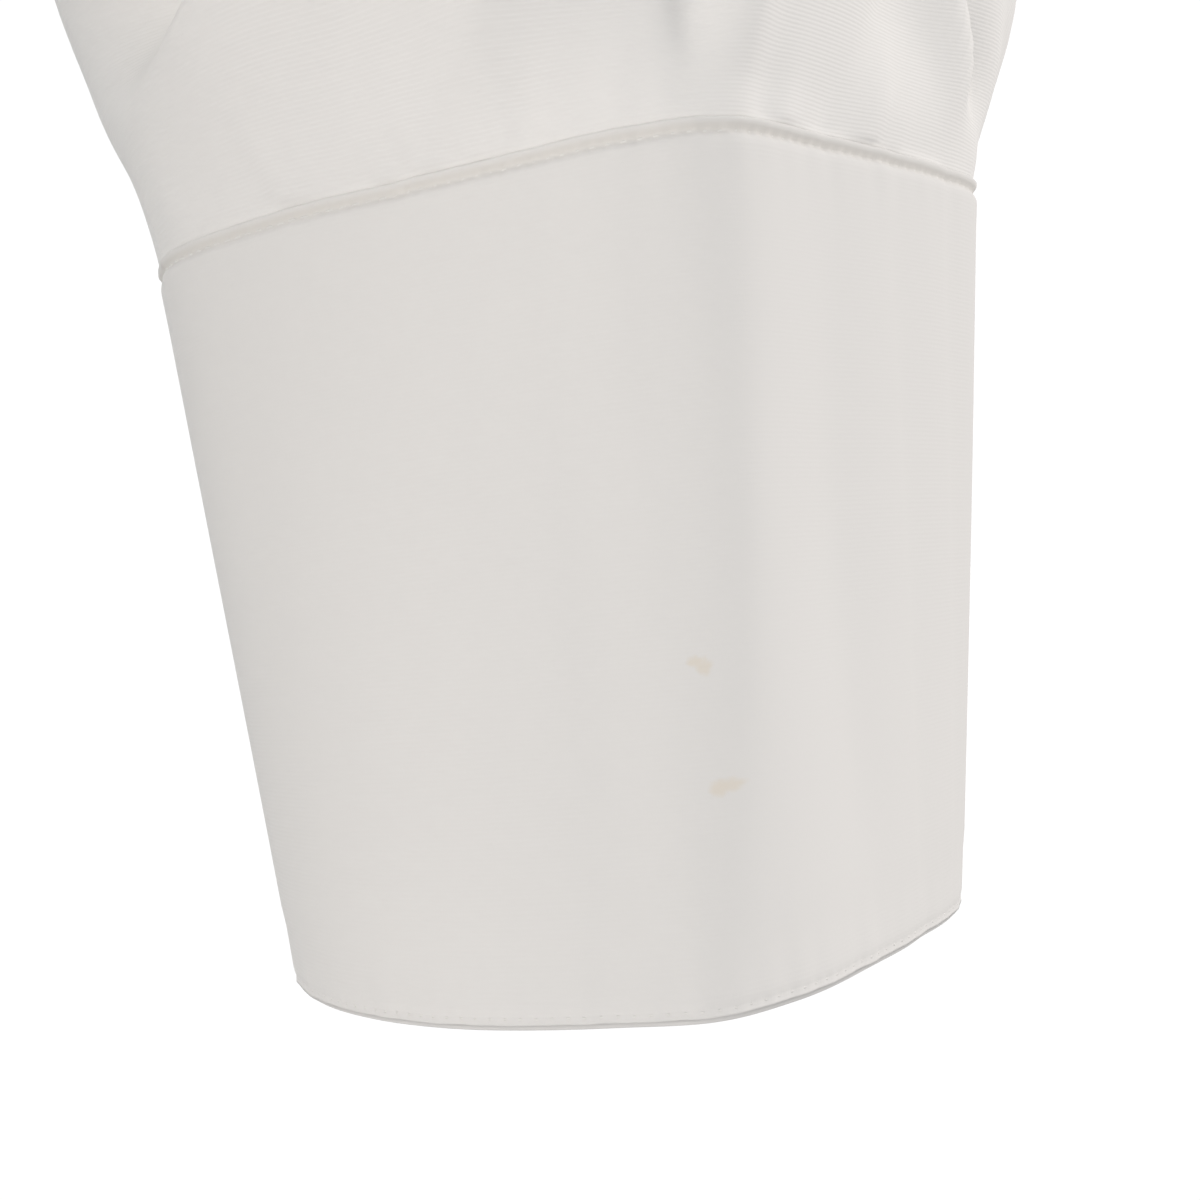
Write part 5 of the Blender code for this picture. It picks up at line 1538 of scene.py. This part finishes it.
SPOTS = (  # two small yellowed marks on the palm side of the left cuff
    cuff_spot(465.4, 46.3, 0.9, 0.95),
    cuff_spot(466.7, 45.8, 0.9, 0.6),
    cuff_spot(463.7, 56.2, 1.8, 0.75),
    cuff_spot(465.4, 56.4, 1.1, 0.9),
)
GROOVE_SHADE_BAND = 0.55 * MM, 0.95 * MM  # painted shade in the groove under the upper edge, between the lip and its stitches
# Both cuffs' cotton is darkened as painted shade, and carries a line of painted shade in the upper
# groove.
cuff_cotton = {
    1: cotton_material("cuff poplin", 0.006 * MM, CUFF_PAINTED_SHADE, SPOTS, GROOVE_SHADE_BAND),
    -1: cotton_material("right cuff poplin", 0.006 * MM, CUFF_PAINTED_SHADE, (), GROOVE_SHADE_BAND),
}
CUFF_CUT = (0.262, 0.075)
FINE_COLUMNS = {"left": 0.32 * MM, "right": 0.55 * MM}
cuffs = {word: make_cuff(word, side, FINE_COLUMNS[word]) for word, side in SIDES.items()}

# %% [markdown]
# ## Sleeve plackets
#
# The slit above each cuff is finished with a strip that ends in a point. It takes the
# sleeve's own surface and stands a layer above it.

# %% Sleeve plackets
half_across = np.array((4, 8, 10.4, 11.2, 11.9, 12.3, 12.5))
placket_across = MM * joined(-half_across[::-1], (0,), half_across)
placket_along = joined(
    PLACKET_TIP + SLEEVE_PLACKET_PEAK * np.linspace(0, 1, 16),
    np.linspace(PLACKET_SHOULDER, SLEEVE_END - 4 * MM, 60)[1:],
    SLEEVE_END + MM * np.array((-3, -2, -1.2, -0.6, 0, 0.8)),
)


def placket_point(across, along, side, lift=0.0):
    """A point of the sleeve, `across` metres from the slit's middle and lifted off."""

    def shape(turn, along):
        return sleeve(turn, along, side, lapped=False)

    radians = np.deg2rad(degrees_of(shape, SLIT_TURN, along, (1.0,)))[:, 0]
    turn = np.deg2rad(SLIT_TURN) + across * radians[:, None]
    level = along[:, None] + 0 * turn
    points = shape(turn, level)
    out = normals(shape, turn, np.minimum(level, SLEEVE_END - 2 * MM))
    return points + np.asarray(lift)[..., None] * out, out


def make_placket(word, side):
    """A strip with a pointed top, stitched along both edges and across above the slit."""
    name = f"sleeve_placket_{word}"
    width = np.clip((placket_along - PLACKET_TIP) / SLEEVE_PLACKET_PEAK, 0.03, 1)[:, None]
    across = placket_across * width
    to_cuff = np.clip((SLEEVE_END - placket_along) / (5 * MM), -1, 1)[:, None]
    edge = np.minimum(12.5 * MM * width - np.abs(across), (placket_along - PLACKET_TIP)[:, None])
    groove = 0.15 * MM * bell(edge - EDGE_STITCH, 0.5 * MM)
    lift = (BAND_OFF + BAND) * smooth(to_cuff) + 0.3 * MM * (1 - smooth(to_cuff)) - groove
    points, out = placket_point(across, placket_along, side, lift)
    bar = np.argmin(np.abs(placket_along - (SLIT_TOP - 4 * MM)))
    spots = (slice(3, -3), 3), (slice(3, -3), 11), (bar, slice(3, 12))
    lines = [on_side(side, points[at] + 0.04 * MM * out[at], out[at]) for at in spots]
    made = shell(name, mirrored(points, side), cotton, BAND)
    sew(name, lines)
    report_cut(name, points, SLEEVE_PLACKET_CUT)
    return made


SLEEVE_PLACKET_CUT = (0.025, 0.164)
plackets = {word: make_placket(word, side) for word, side in SIDES.items()}

# %% [markdown]
# ## Collar
#
# The collar has two parts, each of two layers with an interlining. The stand rises from
# the neck seam and laps over at the front, where a button closes it. The leaf rises off
# the stand, rolls over and falls to just clear of the body, and comes to a point on each
# side.

# %% Collar stand
STAND_BACK = 31 * MM  # collar stand's height at the centre back and front
STAND_FRONT = 26 * MM
STAND_LEAN = 0.10  # how far the stand leans in for each unit of height
STAND_CORNER = 12 * MM
STAND_THICK = 1.6 * MM
STAND_UNDER = 2.1 * MM
SEAM = 0.3 * MM
STIFF = 2.2 * MM
STAND_LAP = float(angle_at_x(FRONT_LAP, NECK))
STAND_LAST = -2 * np.pi - STAND_LAP  # the left end's angle; the right end's is STAND_LAP
NECK_SIDE = TORSO[-1].half_width
COLLAR_PITCH = 2.0 * MM


def neck_seam(angle):
    """The neck seam, straight between the lapped fronts' edges."""
    turned = signed(angle)
    share = np.clip(np.abs(turned) / STAND_LAP, 0, 1)[..., None]
    end = torso(np.copysign(np.maximum(np.abs(turned), STAND_LAP), turned), NECK)
    return end + (1 - share) * (torso(0.0, NECK) - end)


def neck_out(angle):
    """The level direction out from the neck seam."""
    across = np.sin(angle) / NECK_SIDE
    depth = np.where(np.cos(angle) > 0, TORSO[-1].front, TORSO[-1].back)
    return unit(np.stack((across, -np.cos(angle) / depth, 0 * angle), axis=-1))


def stand_height(angle):
    """The stand's upright height: its width, made longer where the seam slopes."""
    width = STAND_FRONT + (STAND_BACK - STAND_FRONT) * (1 - np.cos(angle)) / 2
    step = np.deg2rad(1)
    seam = torso(angle + step, NECK) - torso(angle - step, NECK)
    return width * np.linalg.norm(seam, axis=-1) / np.linalg.norm(seam[..., :2], axis=-1)


def stand_point(angle, rise, inset=0.0):
    """A point of the stand's outer face, rise metres above the neck seam."""
    inward = (STAND_LEAN * rise + inset)[..., None] * neck_out(angle)
    return neck_seam(angle) - inward + (rise + SEAM)[..., None] * np.array((0, 0, 1))


def stand_inset(angle):
    """The stand's right end goes under its left end. angle falls from the right end,
    past the centre front, round the back, and past the centre front again."""
    return STAND_UNDER * smooth((angle + 2.6 * STAND_LAP) / (1.6 * STAND_LAP))


def rounded_end(distance, corner):
    """How far a rounded corner lifts an edge, at a distance from the end."""
    inside = np.clip(corner - distance, 0, corner)
    return corner - np.sqrt(corner**2 - inside**2)


def pressed_edge(edge):
    """The relief of a pressed and stitched edge, by metres from it."""
    return -0.16 * MM * bell(edge - EDGE_STITCH, 0.5 * MM)


def between_ends(first, last, ends, count):
    """Angles from first to last: at the distances `ends` from both, and even between."""
    start, stop = first + ends, last - ends[::-1]
    return joined(start, np.linspace(start[-1], stop[0], count)[1:-1], stop)


# %% Make the stand
end_columns = MM * np.array((0, 0.2, 0.6, 1.3, 2.2, 4.0, 6.5, 9.0, 12.0))
stand_turns = between_ends(STAND_LAST, STAND_LAP, end_columns / NECK_SIDE, 230)
edge_rows = MM * np.array((0, 0.25, 0.7, 1.3, 1.9, 3.0))
stand_aside = np.minimum(STAND_LAP - stand_turns, stand_turns + 2 * np.pi + STAND_LAP)
stand_from_end = stand_aside * NECK_SIDE
stand_top = stand_height(stand_turns) - rounded_end(stand_from_end, STAND_CORNER)
stand_rise = joined(
    np.repeat(edge_rows[:, None] - 0.5 * MM, len(stand_turns), axis=1),
    np.linspace(0.16, 0.86, 14)[:, None] * stand_top,
    stand_top - edge_rows[::-1, None],
)
stand_angle = stand_turns + 0 * stand_rise
stand_edge = np.minimum(np.minimum(stand_rise + 0.5 * MM, stand_top - stand_rise), stand_from_end)
stand_out = pressed_edge(stand_edge)
stand_grid = stand_point(stand_angle, stand_rise, stand_inset(stand_angle) - stand_out)
collar_stand = shell("collar_stand", stand_grid, cotton, STAND_THICK)
within, both_edges = slice(3, -3), (3, -4)  # the stitches' row or column beside each edge
stand_lines = [grid_line(stand_grid, row, within) for row in both_edges]
stand_lines += [grid_line(stand_grid, within, across) for across in both_edges]
stand_lines += [grid_line(stand_grid, row, within, inside=STAND_THICK) for row in both_edges]
sew("collar_stand", stand_lines, COLLAR_PITCH)
STAND_CUT = (0.440, 0.036)
report_cut("collar_stand", stand_grid, STAND_CUT)

# %% Collar leaf
Leaf = namedtuple("Leaf", "root_angle edge_angle edge_height roll")
LEAF = (
    Leaf(6.5, 12.5, -0.056, 3.6 * MM),  # the collar's point
    Leaf(22, 20.5, -0.032, 3.4 * MM),
    Leaf(45, 37, -0.0185, 3.2 * MM),
    Leaf(90, 90, -0.0075, 2.6 * MM),
    Leaf(135, 135, -0.006, 2.4 * MM),
    Leaf(180, 180, -0.005, 2.4 * MM),
)
LEAF_RISE = 2.75 * MM  # the leaf's straight rise off the stand, before it rolls over
LEAF_CLEAR = 1.6 * MM  # between the leaf's edge and the body
LEAF_BELLY = 2.0 * MM  # how far its fall bows out
LEAF_RADIUS = 0.066  # metres of leaf for each radian round the neck
LEAF_LAST = -np.deg2rad(LEAF[0].root_angle)  # the angles of its two points
LEAF_FIRST = -2 * np.pi - LEAF_LAST
UP = np.array((0, 0, 1.0))


def leaf_value(name, angle):
    """A column of the leaf's table at an angle, the same on both sides."""
    degrees = np.abs(np.rad2deg(signed(angle)))
    return through(column(LEAF, "root_angle"), column(LEAF, name), degrees)


leaf_turns = between_ends(LEAF_LAST, LEAF_FIRST, -end_columns[:-1] / LEAF_RADIUS, 220)
leaf_out = neck_out(leaf_turns)
leaf_roll = leaf_value("roll", leaf_turns)[:, None]
leaf_inset = stand_inset(leaf_turns) + STIFF / 2
leaf_base = stand_point(leaf_turns, stand_height(leaf_turns), leaf_inset) + 0.2 * MM * UP
roll_middle = leaf_base + leaf_roll * leaf_out + LEAF_RISE * UP
spokes = np.deg2rad(np.linspace(180, 0, 13))[:, None, None]
leaf_over = roll_middle + leaf_roll * (np.cos(spokes) * leaf_out + np.sin(spokes) * UP)

# The fall runs from the roll's last row to an edge that is held clear of the body.
leaf_side = np.where(np.sin(leaf_turns) > 0, 1, -1)
leaf_angle = leaf_side * np.deg2rad(leaf_value("edge_angle", leaf_turns))
leaf_place = leaf_angle, leaf_value("edge_height", leaf_turns)
leaf_edge = torso(*leaf_place) + (LEAF_CLEAR + STIFF / 2) * normals(torso, *leaf_place)
fall = joined(np.linspace(0, 0.90, 20)[1:], (0.935, 0.955, 0.97, 0.985, 0.995, 1))[:, None, None]
bow = LEAF_BELLY * np.sin(np.pi * fall) * leaf_out
leaf_fall = leaf_over[-1] + fall * (leaf_edge - leaf_over[-1]) + bow
leaf_rise = np.stack((leaf_base, (leaf_base + leaf_over[0]) / 2))
leaf_middle = joined(leaf_rise, leaf_over, leaf_fall)
ROLL_ROWS = len(leaf_rise) + len(leaf_over)

# %% The leaf's pressed edges and its stitches
from_edge = (1 - fall[..., 0]) * np.linalg.norm(leaf_edge - leaf_over[-1], axis=-1)
from_edge = joined(np.full((ROLL_ROWS, len(leaf_turns)), 20 * MM), from_edge)
leaf_aside = np.minimum(LEAF_LAST - leaf_turns, leaf_turns - LEAF_FIRST) * LEAF_RADIUS
leaf_relief = LEAF_THICK / 2 + pressed_edge(np.minimum(from_edge, leaf_aside + 0 * from_edge))
collar_cockle = cockle(leaf_middle, 0.25 * MM) * smooth(np.arange(len(leaf_middle)) / 6)[:, None]
leaf_grid = leaf_middle + (leaf_relief + collar_cockle)[..., None] * grid_normals(leaf_middle)
collar_leaf = shell("collar_leaf", leaf_grid, cotton, LEAF_THICK)
stitch_row = int(np.argmin(np.abs(from_edge[:, len(leaf_turns) // 2] - EDGE_STITCH)))
below_roll = slice(ROLL_ROWS, stitch_row + 1)
leaf_lines = [grid_line(leaf_grid, stitch_row, within)]
leaf_lines += [grid_line(leaf_grid, below_roll, across) for across in both_edges]
sew("collar_leaf", leaf_lines, COLLAR_PITCH)
LEAF_CUT = (0.480, 0.085)
report_cut("collar_leaf", leaf_grid, LEAF_CUT)

# %% [markdown]
# ## Buttons and buttonholes
#
# A shirt button is turned from shell: a raised rim round a shallow dish, with four holes.
# The dish between the holes is four squares, each with a round hole, drawn as rings from
# the circle out to the square. Thread crosses between the holes in two bundles. A
# buttonhole is a slot worked all round with close stitches.

# %% Button
FRONT_BUTTON, SMALL_BUTTON = 11 * MM, 9.5 * MM  # diameters
BUTTON_DEPTH = 2.4 * MM
HOLE_RADIUS = 0.14  # in button radii, as are the next two
HOLE_PLACE = 0.21
DISH = 0.66  # the dish's height, in button depths
BUTTON_OFF = SEAM + 0.1 * MM


def button_points(radius):
    """(points, faces) of a button about +Z, its back on z = 0."""
    ring = np.deg2rad(np.arange(16) * 22.5)
    circle = np.stack((np.cos(ring), np.sin(ring)), axis=1)
    square = circle / np.abs(circle).max(axis=1, keepdims=True)
    middles = HOLE_PLACE * np.array(((1, 1), (-1, 1), (-1, -1), (1, -1)))
    holes = middles[:, None] + HOLE_RADIUS * circle
    cells = middles[:, None] + HOLE_PLACE * square
    dish = DISH * BUTTON_DEPTH
    quads = []

    def strip(first, second):
        """Quads between two closed rings of points."""
        corners = first, np.roll(first, -1, 0), np.roll(second, -1, 0), second
        quads.append(np.stack(corners, axis=1))

    def at(flat, z):
        return np.concatenate((radius * flat, np.full((len(flat), 1), z)), axis=1)

    for hole, cell in zip(holes, cells):
        strip(at(hole, dish), at(cell, dish))
        strip(at(hole, 0), at(hole, dish))
        strip(at(cell, 0), at(hole, 0))
    rim = cells.reshape(-1, 2)
    rim = rim[np.abs(rim).max(axis=1) > 1.99 * HOLE_PLACE]
    turned = np.unique(np.round(np.arctan2(rim[:, 1], rim[:, 0]), 6))
    spoke = np.stack((np.cos(turned), np.sin(turned)), axis=1)
    edge = spoke / np.abs(spoke).max(axis=1, keepdims=True) * 2 * HOLE_PLACE
    profile = np.array(
        (
            (0.58, DISH), (0.66, 0.70), (0.72, 0.82), (0.78, 0.95), (0.84, 1.0), (0.90, 0.99),
            (0.96, 0.93), (0.99, 0.84), (1.0, 0.72), (0.97, 0.48), (0.90, 0.22), (0.82, 0.08),
            (0.72, 0.0),
        )
    )
    rings = [at(edge, dish)] + [at(r * spoke, z * BUTTON_DEPTH) for r, z in profile] + [at(edge, 0)]
    for first, second in zip(rings, rings[1:]):
        strip(first, second)
    corners = np.concatenate(quads)
    return corners.reshape(-1, 3), np.arange(len(corners) * 4).reshape(-1, 4)


def turned_to(out):
    """Rows are the axes of a frame whose Z points out."""
    return np.array(Vector(out).to_track_quat("Z", "Y").to_matrix()).T


def clean(obj, merge=1e-6):
    """Merges doubled points and points the faces of the closed mesh outwards."""
    work = bmesh.new()
    work.from_mesh(obj.data)
    bmesh.ops.remove_doubles(work, verts=work.verts, dist=merge)
    bmesh.ops.recalc_face_normals(work, faces=work.faces)
    work.to_mesh(obj.data)
    work.free()
    obj.data.update()


buttons = {}


def make_button(name, place, out, diameter):
    """A button, and the thread that crosses its dish in two bundles."""
    points, faces = button_points(diameter / 2)
    frame_out = turned_to(out)
    base = place + BUTTON_OFF * out
    disc = add_mesh(f"{name}_disc", base + points @ frame_out, faces.tolist(), None, pearl)
    clean(disc)
    disc.data.set_sharp_from_angle(angle=np.deg2rad(50))
    buttons[name] = declare(disc, name)
    across = HOLE_PLACE * diameter / 2
    run = np.linspace(-1.15, 1.15, 5) * across
    lines = []
    for bundle in (-across, across):
        for strand in (-0.17 * MM, 0.17 * MM):
            height = DISH * BUTTON_DEPTH + 0.12 * MM
            local = np.stack((run, 0 * run + bundle + strand, 0 * run + height), axis=1)
            lines.append((base + local @ frame_out, np.repeat(out[None], 5, axis=0)))
    bars, bar_faces = stitch_bars(lines, 2.6 * across, 0.17 * MM)
    declare(add_mesh(f"{name}_thread", bars, bar_faces, None, thread))


# %% Buttonhole
HOLE_LENGTH, HOLE_GAP = 12.5 * MM, 0.7 * MM


def make_buttonhole(name, surface, upright):
    """A ring of close stitches. surface(a, b) gives (points, normals) at metres across
    and along the cloth, and upright turns the slot along it."""
    straight = HOLE_LENGTH / 2 - HOLE_GAP
    half = np.deg2rad(np.linspace(-90, 90, 9))
    cap = np.stack((straight + HOLE_GAP * np.cos(half), HOLE_GAP * np.sin(half)), 1)
    side = np.linspace(straight, -straight, 41)[1:-1]
    edge = np.stack((side, 0 * side + HOLE_GAP), 1)
    path = joined(cap, edge, -cap, -edge)
    ahead = unit(np.roll(path, -1, 0) - np.roll(path, 1, 0))
    across = np.stack((ahead[:, 1], -ahead[:, 0]), 1)
    spin = np.deg2rad(np.arange(6) * 60)
    thick = (0.42 + 0.07 * (-1.0) ** np.arange(len(path))) * MM
    spots = path[:, None] + (thick[:, None] * np.cos(spin))[..., None] * across[:, None]
    a, b = (spots[..., 1], spots[..., 0]) if upright else (spots[..., 0], spots[..., 1])
    points, out = surface(a, b)
    points = points + (0.55 * thick[:, None] * np.sin(spin))[..., None] * out
    count, around = points.shape[:2]
    index = np.arange(count * around).reshape(count, around)
    after, beyond = np.roll(index, -1, 1), np.roll(index, -1, 0)
    faces = np.stack((index, after, np.roll(after, -1, 0), beyond), -1)
    obj = add_mesh(name, points.reshape(-1, 3), faces.reshape(-1, 4).tolist(), None, thread)
    clean(obj, 1e-8)
    return declare(obj)


# %% Sew the buttons on and work the buttonholes
FRONT_BUTTONS = 6  # down the placket; one more closes the stand
FIRST_BUTTON = 62 * MM  # below the neck seam
BUTTON_SPACING = 88 * MM
holes = {}


def near(shape, across, along, lift, sizes):
    """surface(a, b) for a buttonhole: metres either way from a point of a shape."""

    def surface(a, b):
        u, v = across + a / sizes[0], along + b / sizes[1]
        out = normals(shape, u, v)
        return shape(u, v) + lift * out, out

    return surface


def step_sizes(shape, across, along):
    """Metres for one unit of each parameter."""
    tiny = 1e-3
    one, here = np.full(1, across), np.full(1, along)
    side = shape(one + tiny, here) - shape(one - tiny, here)
    down = shape(one, here + tiny) - shape(one, here - tiny)
    return [float(np.linalg.norm(step)) / (2 * tiny) for step in (side, down)]


rise = stand_height(np.zeros(1)) / 2
on_stand = stand_point(np.zeros(1), rise)[0]
make_button("button_collar", on_stand, np.array((0, -1.0, 0)), FRONT_BUTTON)


def stand_surface(a, b):
    points = on_stand + a[..., None] * np.array((1.0, 0, 0)) + b[..., None] * UP
    return points + np.array((0, -0.1 * MM, 0)), np.zeros_like(points) + np.array((0, -1.0, 0))


holes["collar_stand"] = [make_buttonhole("buttonhole_collar", stand_surface, False)]

# %% The placket's buttons
HOLE_LIFT = BAND_OFF + BAND + 0.08 * MM  # a buttonhole's stitches stand this far off the form
heights = np.linspace(HEM, NECK, 400)
centre_z = torso(np.zeros_like(heights), heights)[:, 2]
holes["front_placket"] = []
for number in range(FRONT_BUTTONS):
    z = TORSO[-1].front_z - FIRST_BUTTON - number * BUTTON_SPACING
    height = float(np.interp(z, centre_z, heights))
    out = normals(torso, np.zeros(1), np.full(1, height))[0]
    place = torso(0.0, height) + (BAND_OFF + BAND) * out
    make_button(f"button_front_{number + 1}", place, out, FRONT_BUTTON)
    surface = near(torso, 0.0, height, HOLE_LIFT, step_sizes(torso, 0.0, height))
    holes["front_placket"].append(make_buttonhole(f"buttonhole_{number + 1}", surface, True))

# %% The cuffs' and sleeve plackets' buttons
half_way = np.full(1, SLEEVE_END - 0.55 * SLIT_LENGTH)
over_slit = SLIT_TURN + 360
to_button = round_forearm(np.deg2rad(np.array((SLIT_TURN,))))[0]


def cuff_surface(side):
    """surface(a, b) for the buttonhole of the cuff on one side."""

    def surface(a, b):
        at = over_slit + a / METRES_A_DEGREE, CUFF_DEPTH / 2 + b
        out = round_forearm(np.deg2rad(at[0]))
        return on_side(side, cuff_face(*at, side) + 0.1 * MM * out, out)

    return surface


def placket_surface(side):
    """surface(a, b) for the buttonhole of the sleeve placket on one side."""

    def surface(a, b):
        rows = [(across[:, None], half_way + along) for across, along in zip(a, b)]
        spots = [placket_point(*row, side, HOLE_LIFT) for row in rows]
        return on_side(side, *(np.stack([spot[k][:, 0] for spot in spots]) for k in (0, 1)))

    return surface


for word, side in SIDES.items():
    place = cuff_face(np.full(1, over_slit), np.full(1, CUFF_DEPTH / 2), side)[0]
    make_button(f"button_cuff_{word}", *on_side(side, place, to_button), FRONT_BUTTON)
    hole = make_buttonhole(f"buttonhole_cuff_{word}", cuff_surface(side), False)
    holes[f"cuff_{word}"] = [hole]
    place, out = placket_point(np.zeros((1, 1)), half_way, side, BAND_OFF + BAND)
    make_button(f"button_sleeve_{word}", *on_side(side, place[0, 0], out[0, 0]), SMALL_BUTTON)
    hole = make_buttonhole(f"buttonhole_sleeve_{word}", placket_surface(side), True)
    holes[f"sleeve_placket_{word}"] = [hole]
print(len(buttons), "buttons")

# %% [markdown]
# ## Say what each piece is
#
# Each cloth piece stands for its solid, which is hidden, and rides on the one body.
# Stitches and buttonholes ride on it too.

def finish_cloth(obj, node):
    """Stands for its node, which is hidden, and rides on the one body."""
    declare(obj, node=node)
    print(f"{node}: {len(obj.data.polygons)} faces")


finish_cloth(back, "back")
finish_cloth(yoke, "yoke")
for word in SIDES:
    arm, strip = [f"sleeve_{word}"], f"sleeve_placket_{word}"
    finish_cloth(fronts[word], f"front_{word}")
    finish_cloth(sleeves[word], f"sleeve_{word}")
    finish_cloth(cuffs[word], f"cuff_{word}")
    finish_cloth(plackets[word], strip)
finish_cloth(front_placket, "front_placket")
finish_cloth(collar_stand, "collar_stand")
finish_cloth(collar_leaf, "collar_leaf")

# %% [markdown]
# ## Light and camera
#
# The shirt hangs against white, in bright daylight from all round. A large warm lamp on the
# right of the camera, a warm fill low on its left and a wide cool one on its left give the cuff
# its gentle shading, and a lamp behind does the same for the back.

# %% World and camera
scene = bpy.context.scene
scene.view_settings.view_transform = "Standard"
world = bpy.data.worlds.new("daylight")
scene.world = world
world.use_nodes = True
world.node_tree.nodes.clear()
# The light from above is stronger than the light from below.
way = add_node(world, "TexCoord").outputs["Generated"]
height = add_node(world, "SeparateXYZ", Vector=way).outputs[2]
limits = dict(From_Min=-0.5, From_Max=0.5, To_Min=0.33, To_Max=0.57)
strength = add_node(world, "MapRange", Value=height, **limits).outputs[0]
light = add_node(world, "Background", Color=(0.965, 0.978, 0.99, 1), Strength=strength)
seen = add_node(world, "Background", Color=(1, 1, 1, 1), Strength=1.05)
to_camera = add_node(world, "LightPath").outputs["Is Camera Ray"]
both = dict(i1=light.outputs[0], i2=seen.outputs[0])
either = add_node(world, "MixShader", i0=to_camera, **both)
add_node(world, "OutputWorld", Surface=either.outputs[0])

looking, right, up = Vector((0.5, 0.866, 0.0)), Vector((0.866, -0.5, 0.0)), Vector((0, 0, 1))
lens = bpy.data.cameras.new("camera")
lens.sensor_width, lens.lens = 36, 39
lens.clip_start = 0.01
camera = bpy.data.objects.new("camera", lens)
camera.location = (0.2612, -0.1396, -0.6143)
camera.rotation_euler = looking.to_track_quat("-Z", "Y").to_euler()
scene.collection.objects.link(camera)
scene.camera = camera

# %% Lamps, each (metres right, towards the camera and up from the cuff, width, watts, colour)
cuff_middle = Vector((0.33, -0.02, -0.61))
LAMPS = {
    "key": (2.2, -0.4, 1.1, 1.2, 40, (1.0, 0.94, 0.895)),
    "fill": (-0.6, 1.8, -0.75, 1.5, 21.5, (1.0, 0.955, 0.92)),
    "cool side": (-2.2, 0.4, 0.2, 1.6, 14, (0.62, 0.84, 1.0)),
    "behind": (-1.4, -2.2, 1.6, 1.5, 30, (1.0, 0.98, 0.95)),
}
for name, (to_right, nearer, above, size, power, colour) in LAMPS.items():
    lamp = bpy.data.lights.new(name, "AREA")
    lamp.size, lamp.energy, lamp.color = size, power, colour
    obj = bpy.data.objects.new(name, lamp)
    obj.location = cuff_middle + to_right * right - nearer * looking + above * up
    obj.rotation_euler = (cuff_middle - obj.location).to_track_quat("-Z", "Y").to_euler()
    scene.collection.objects.link(obj)
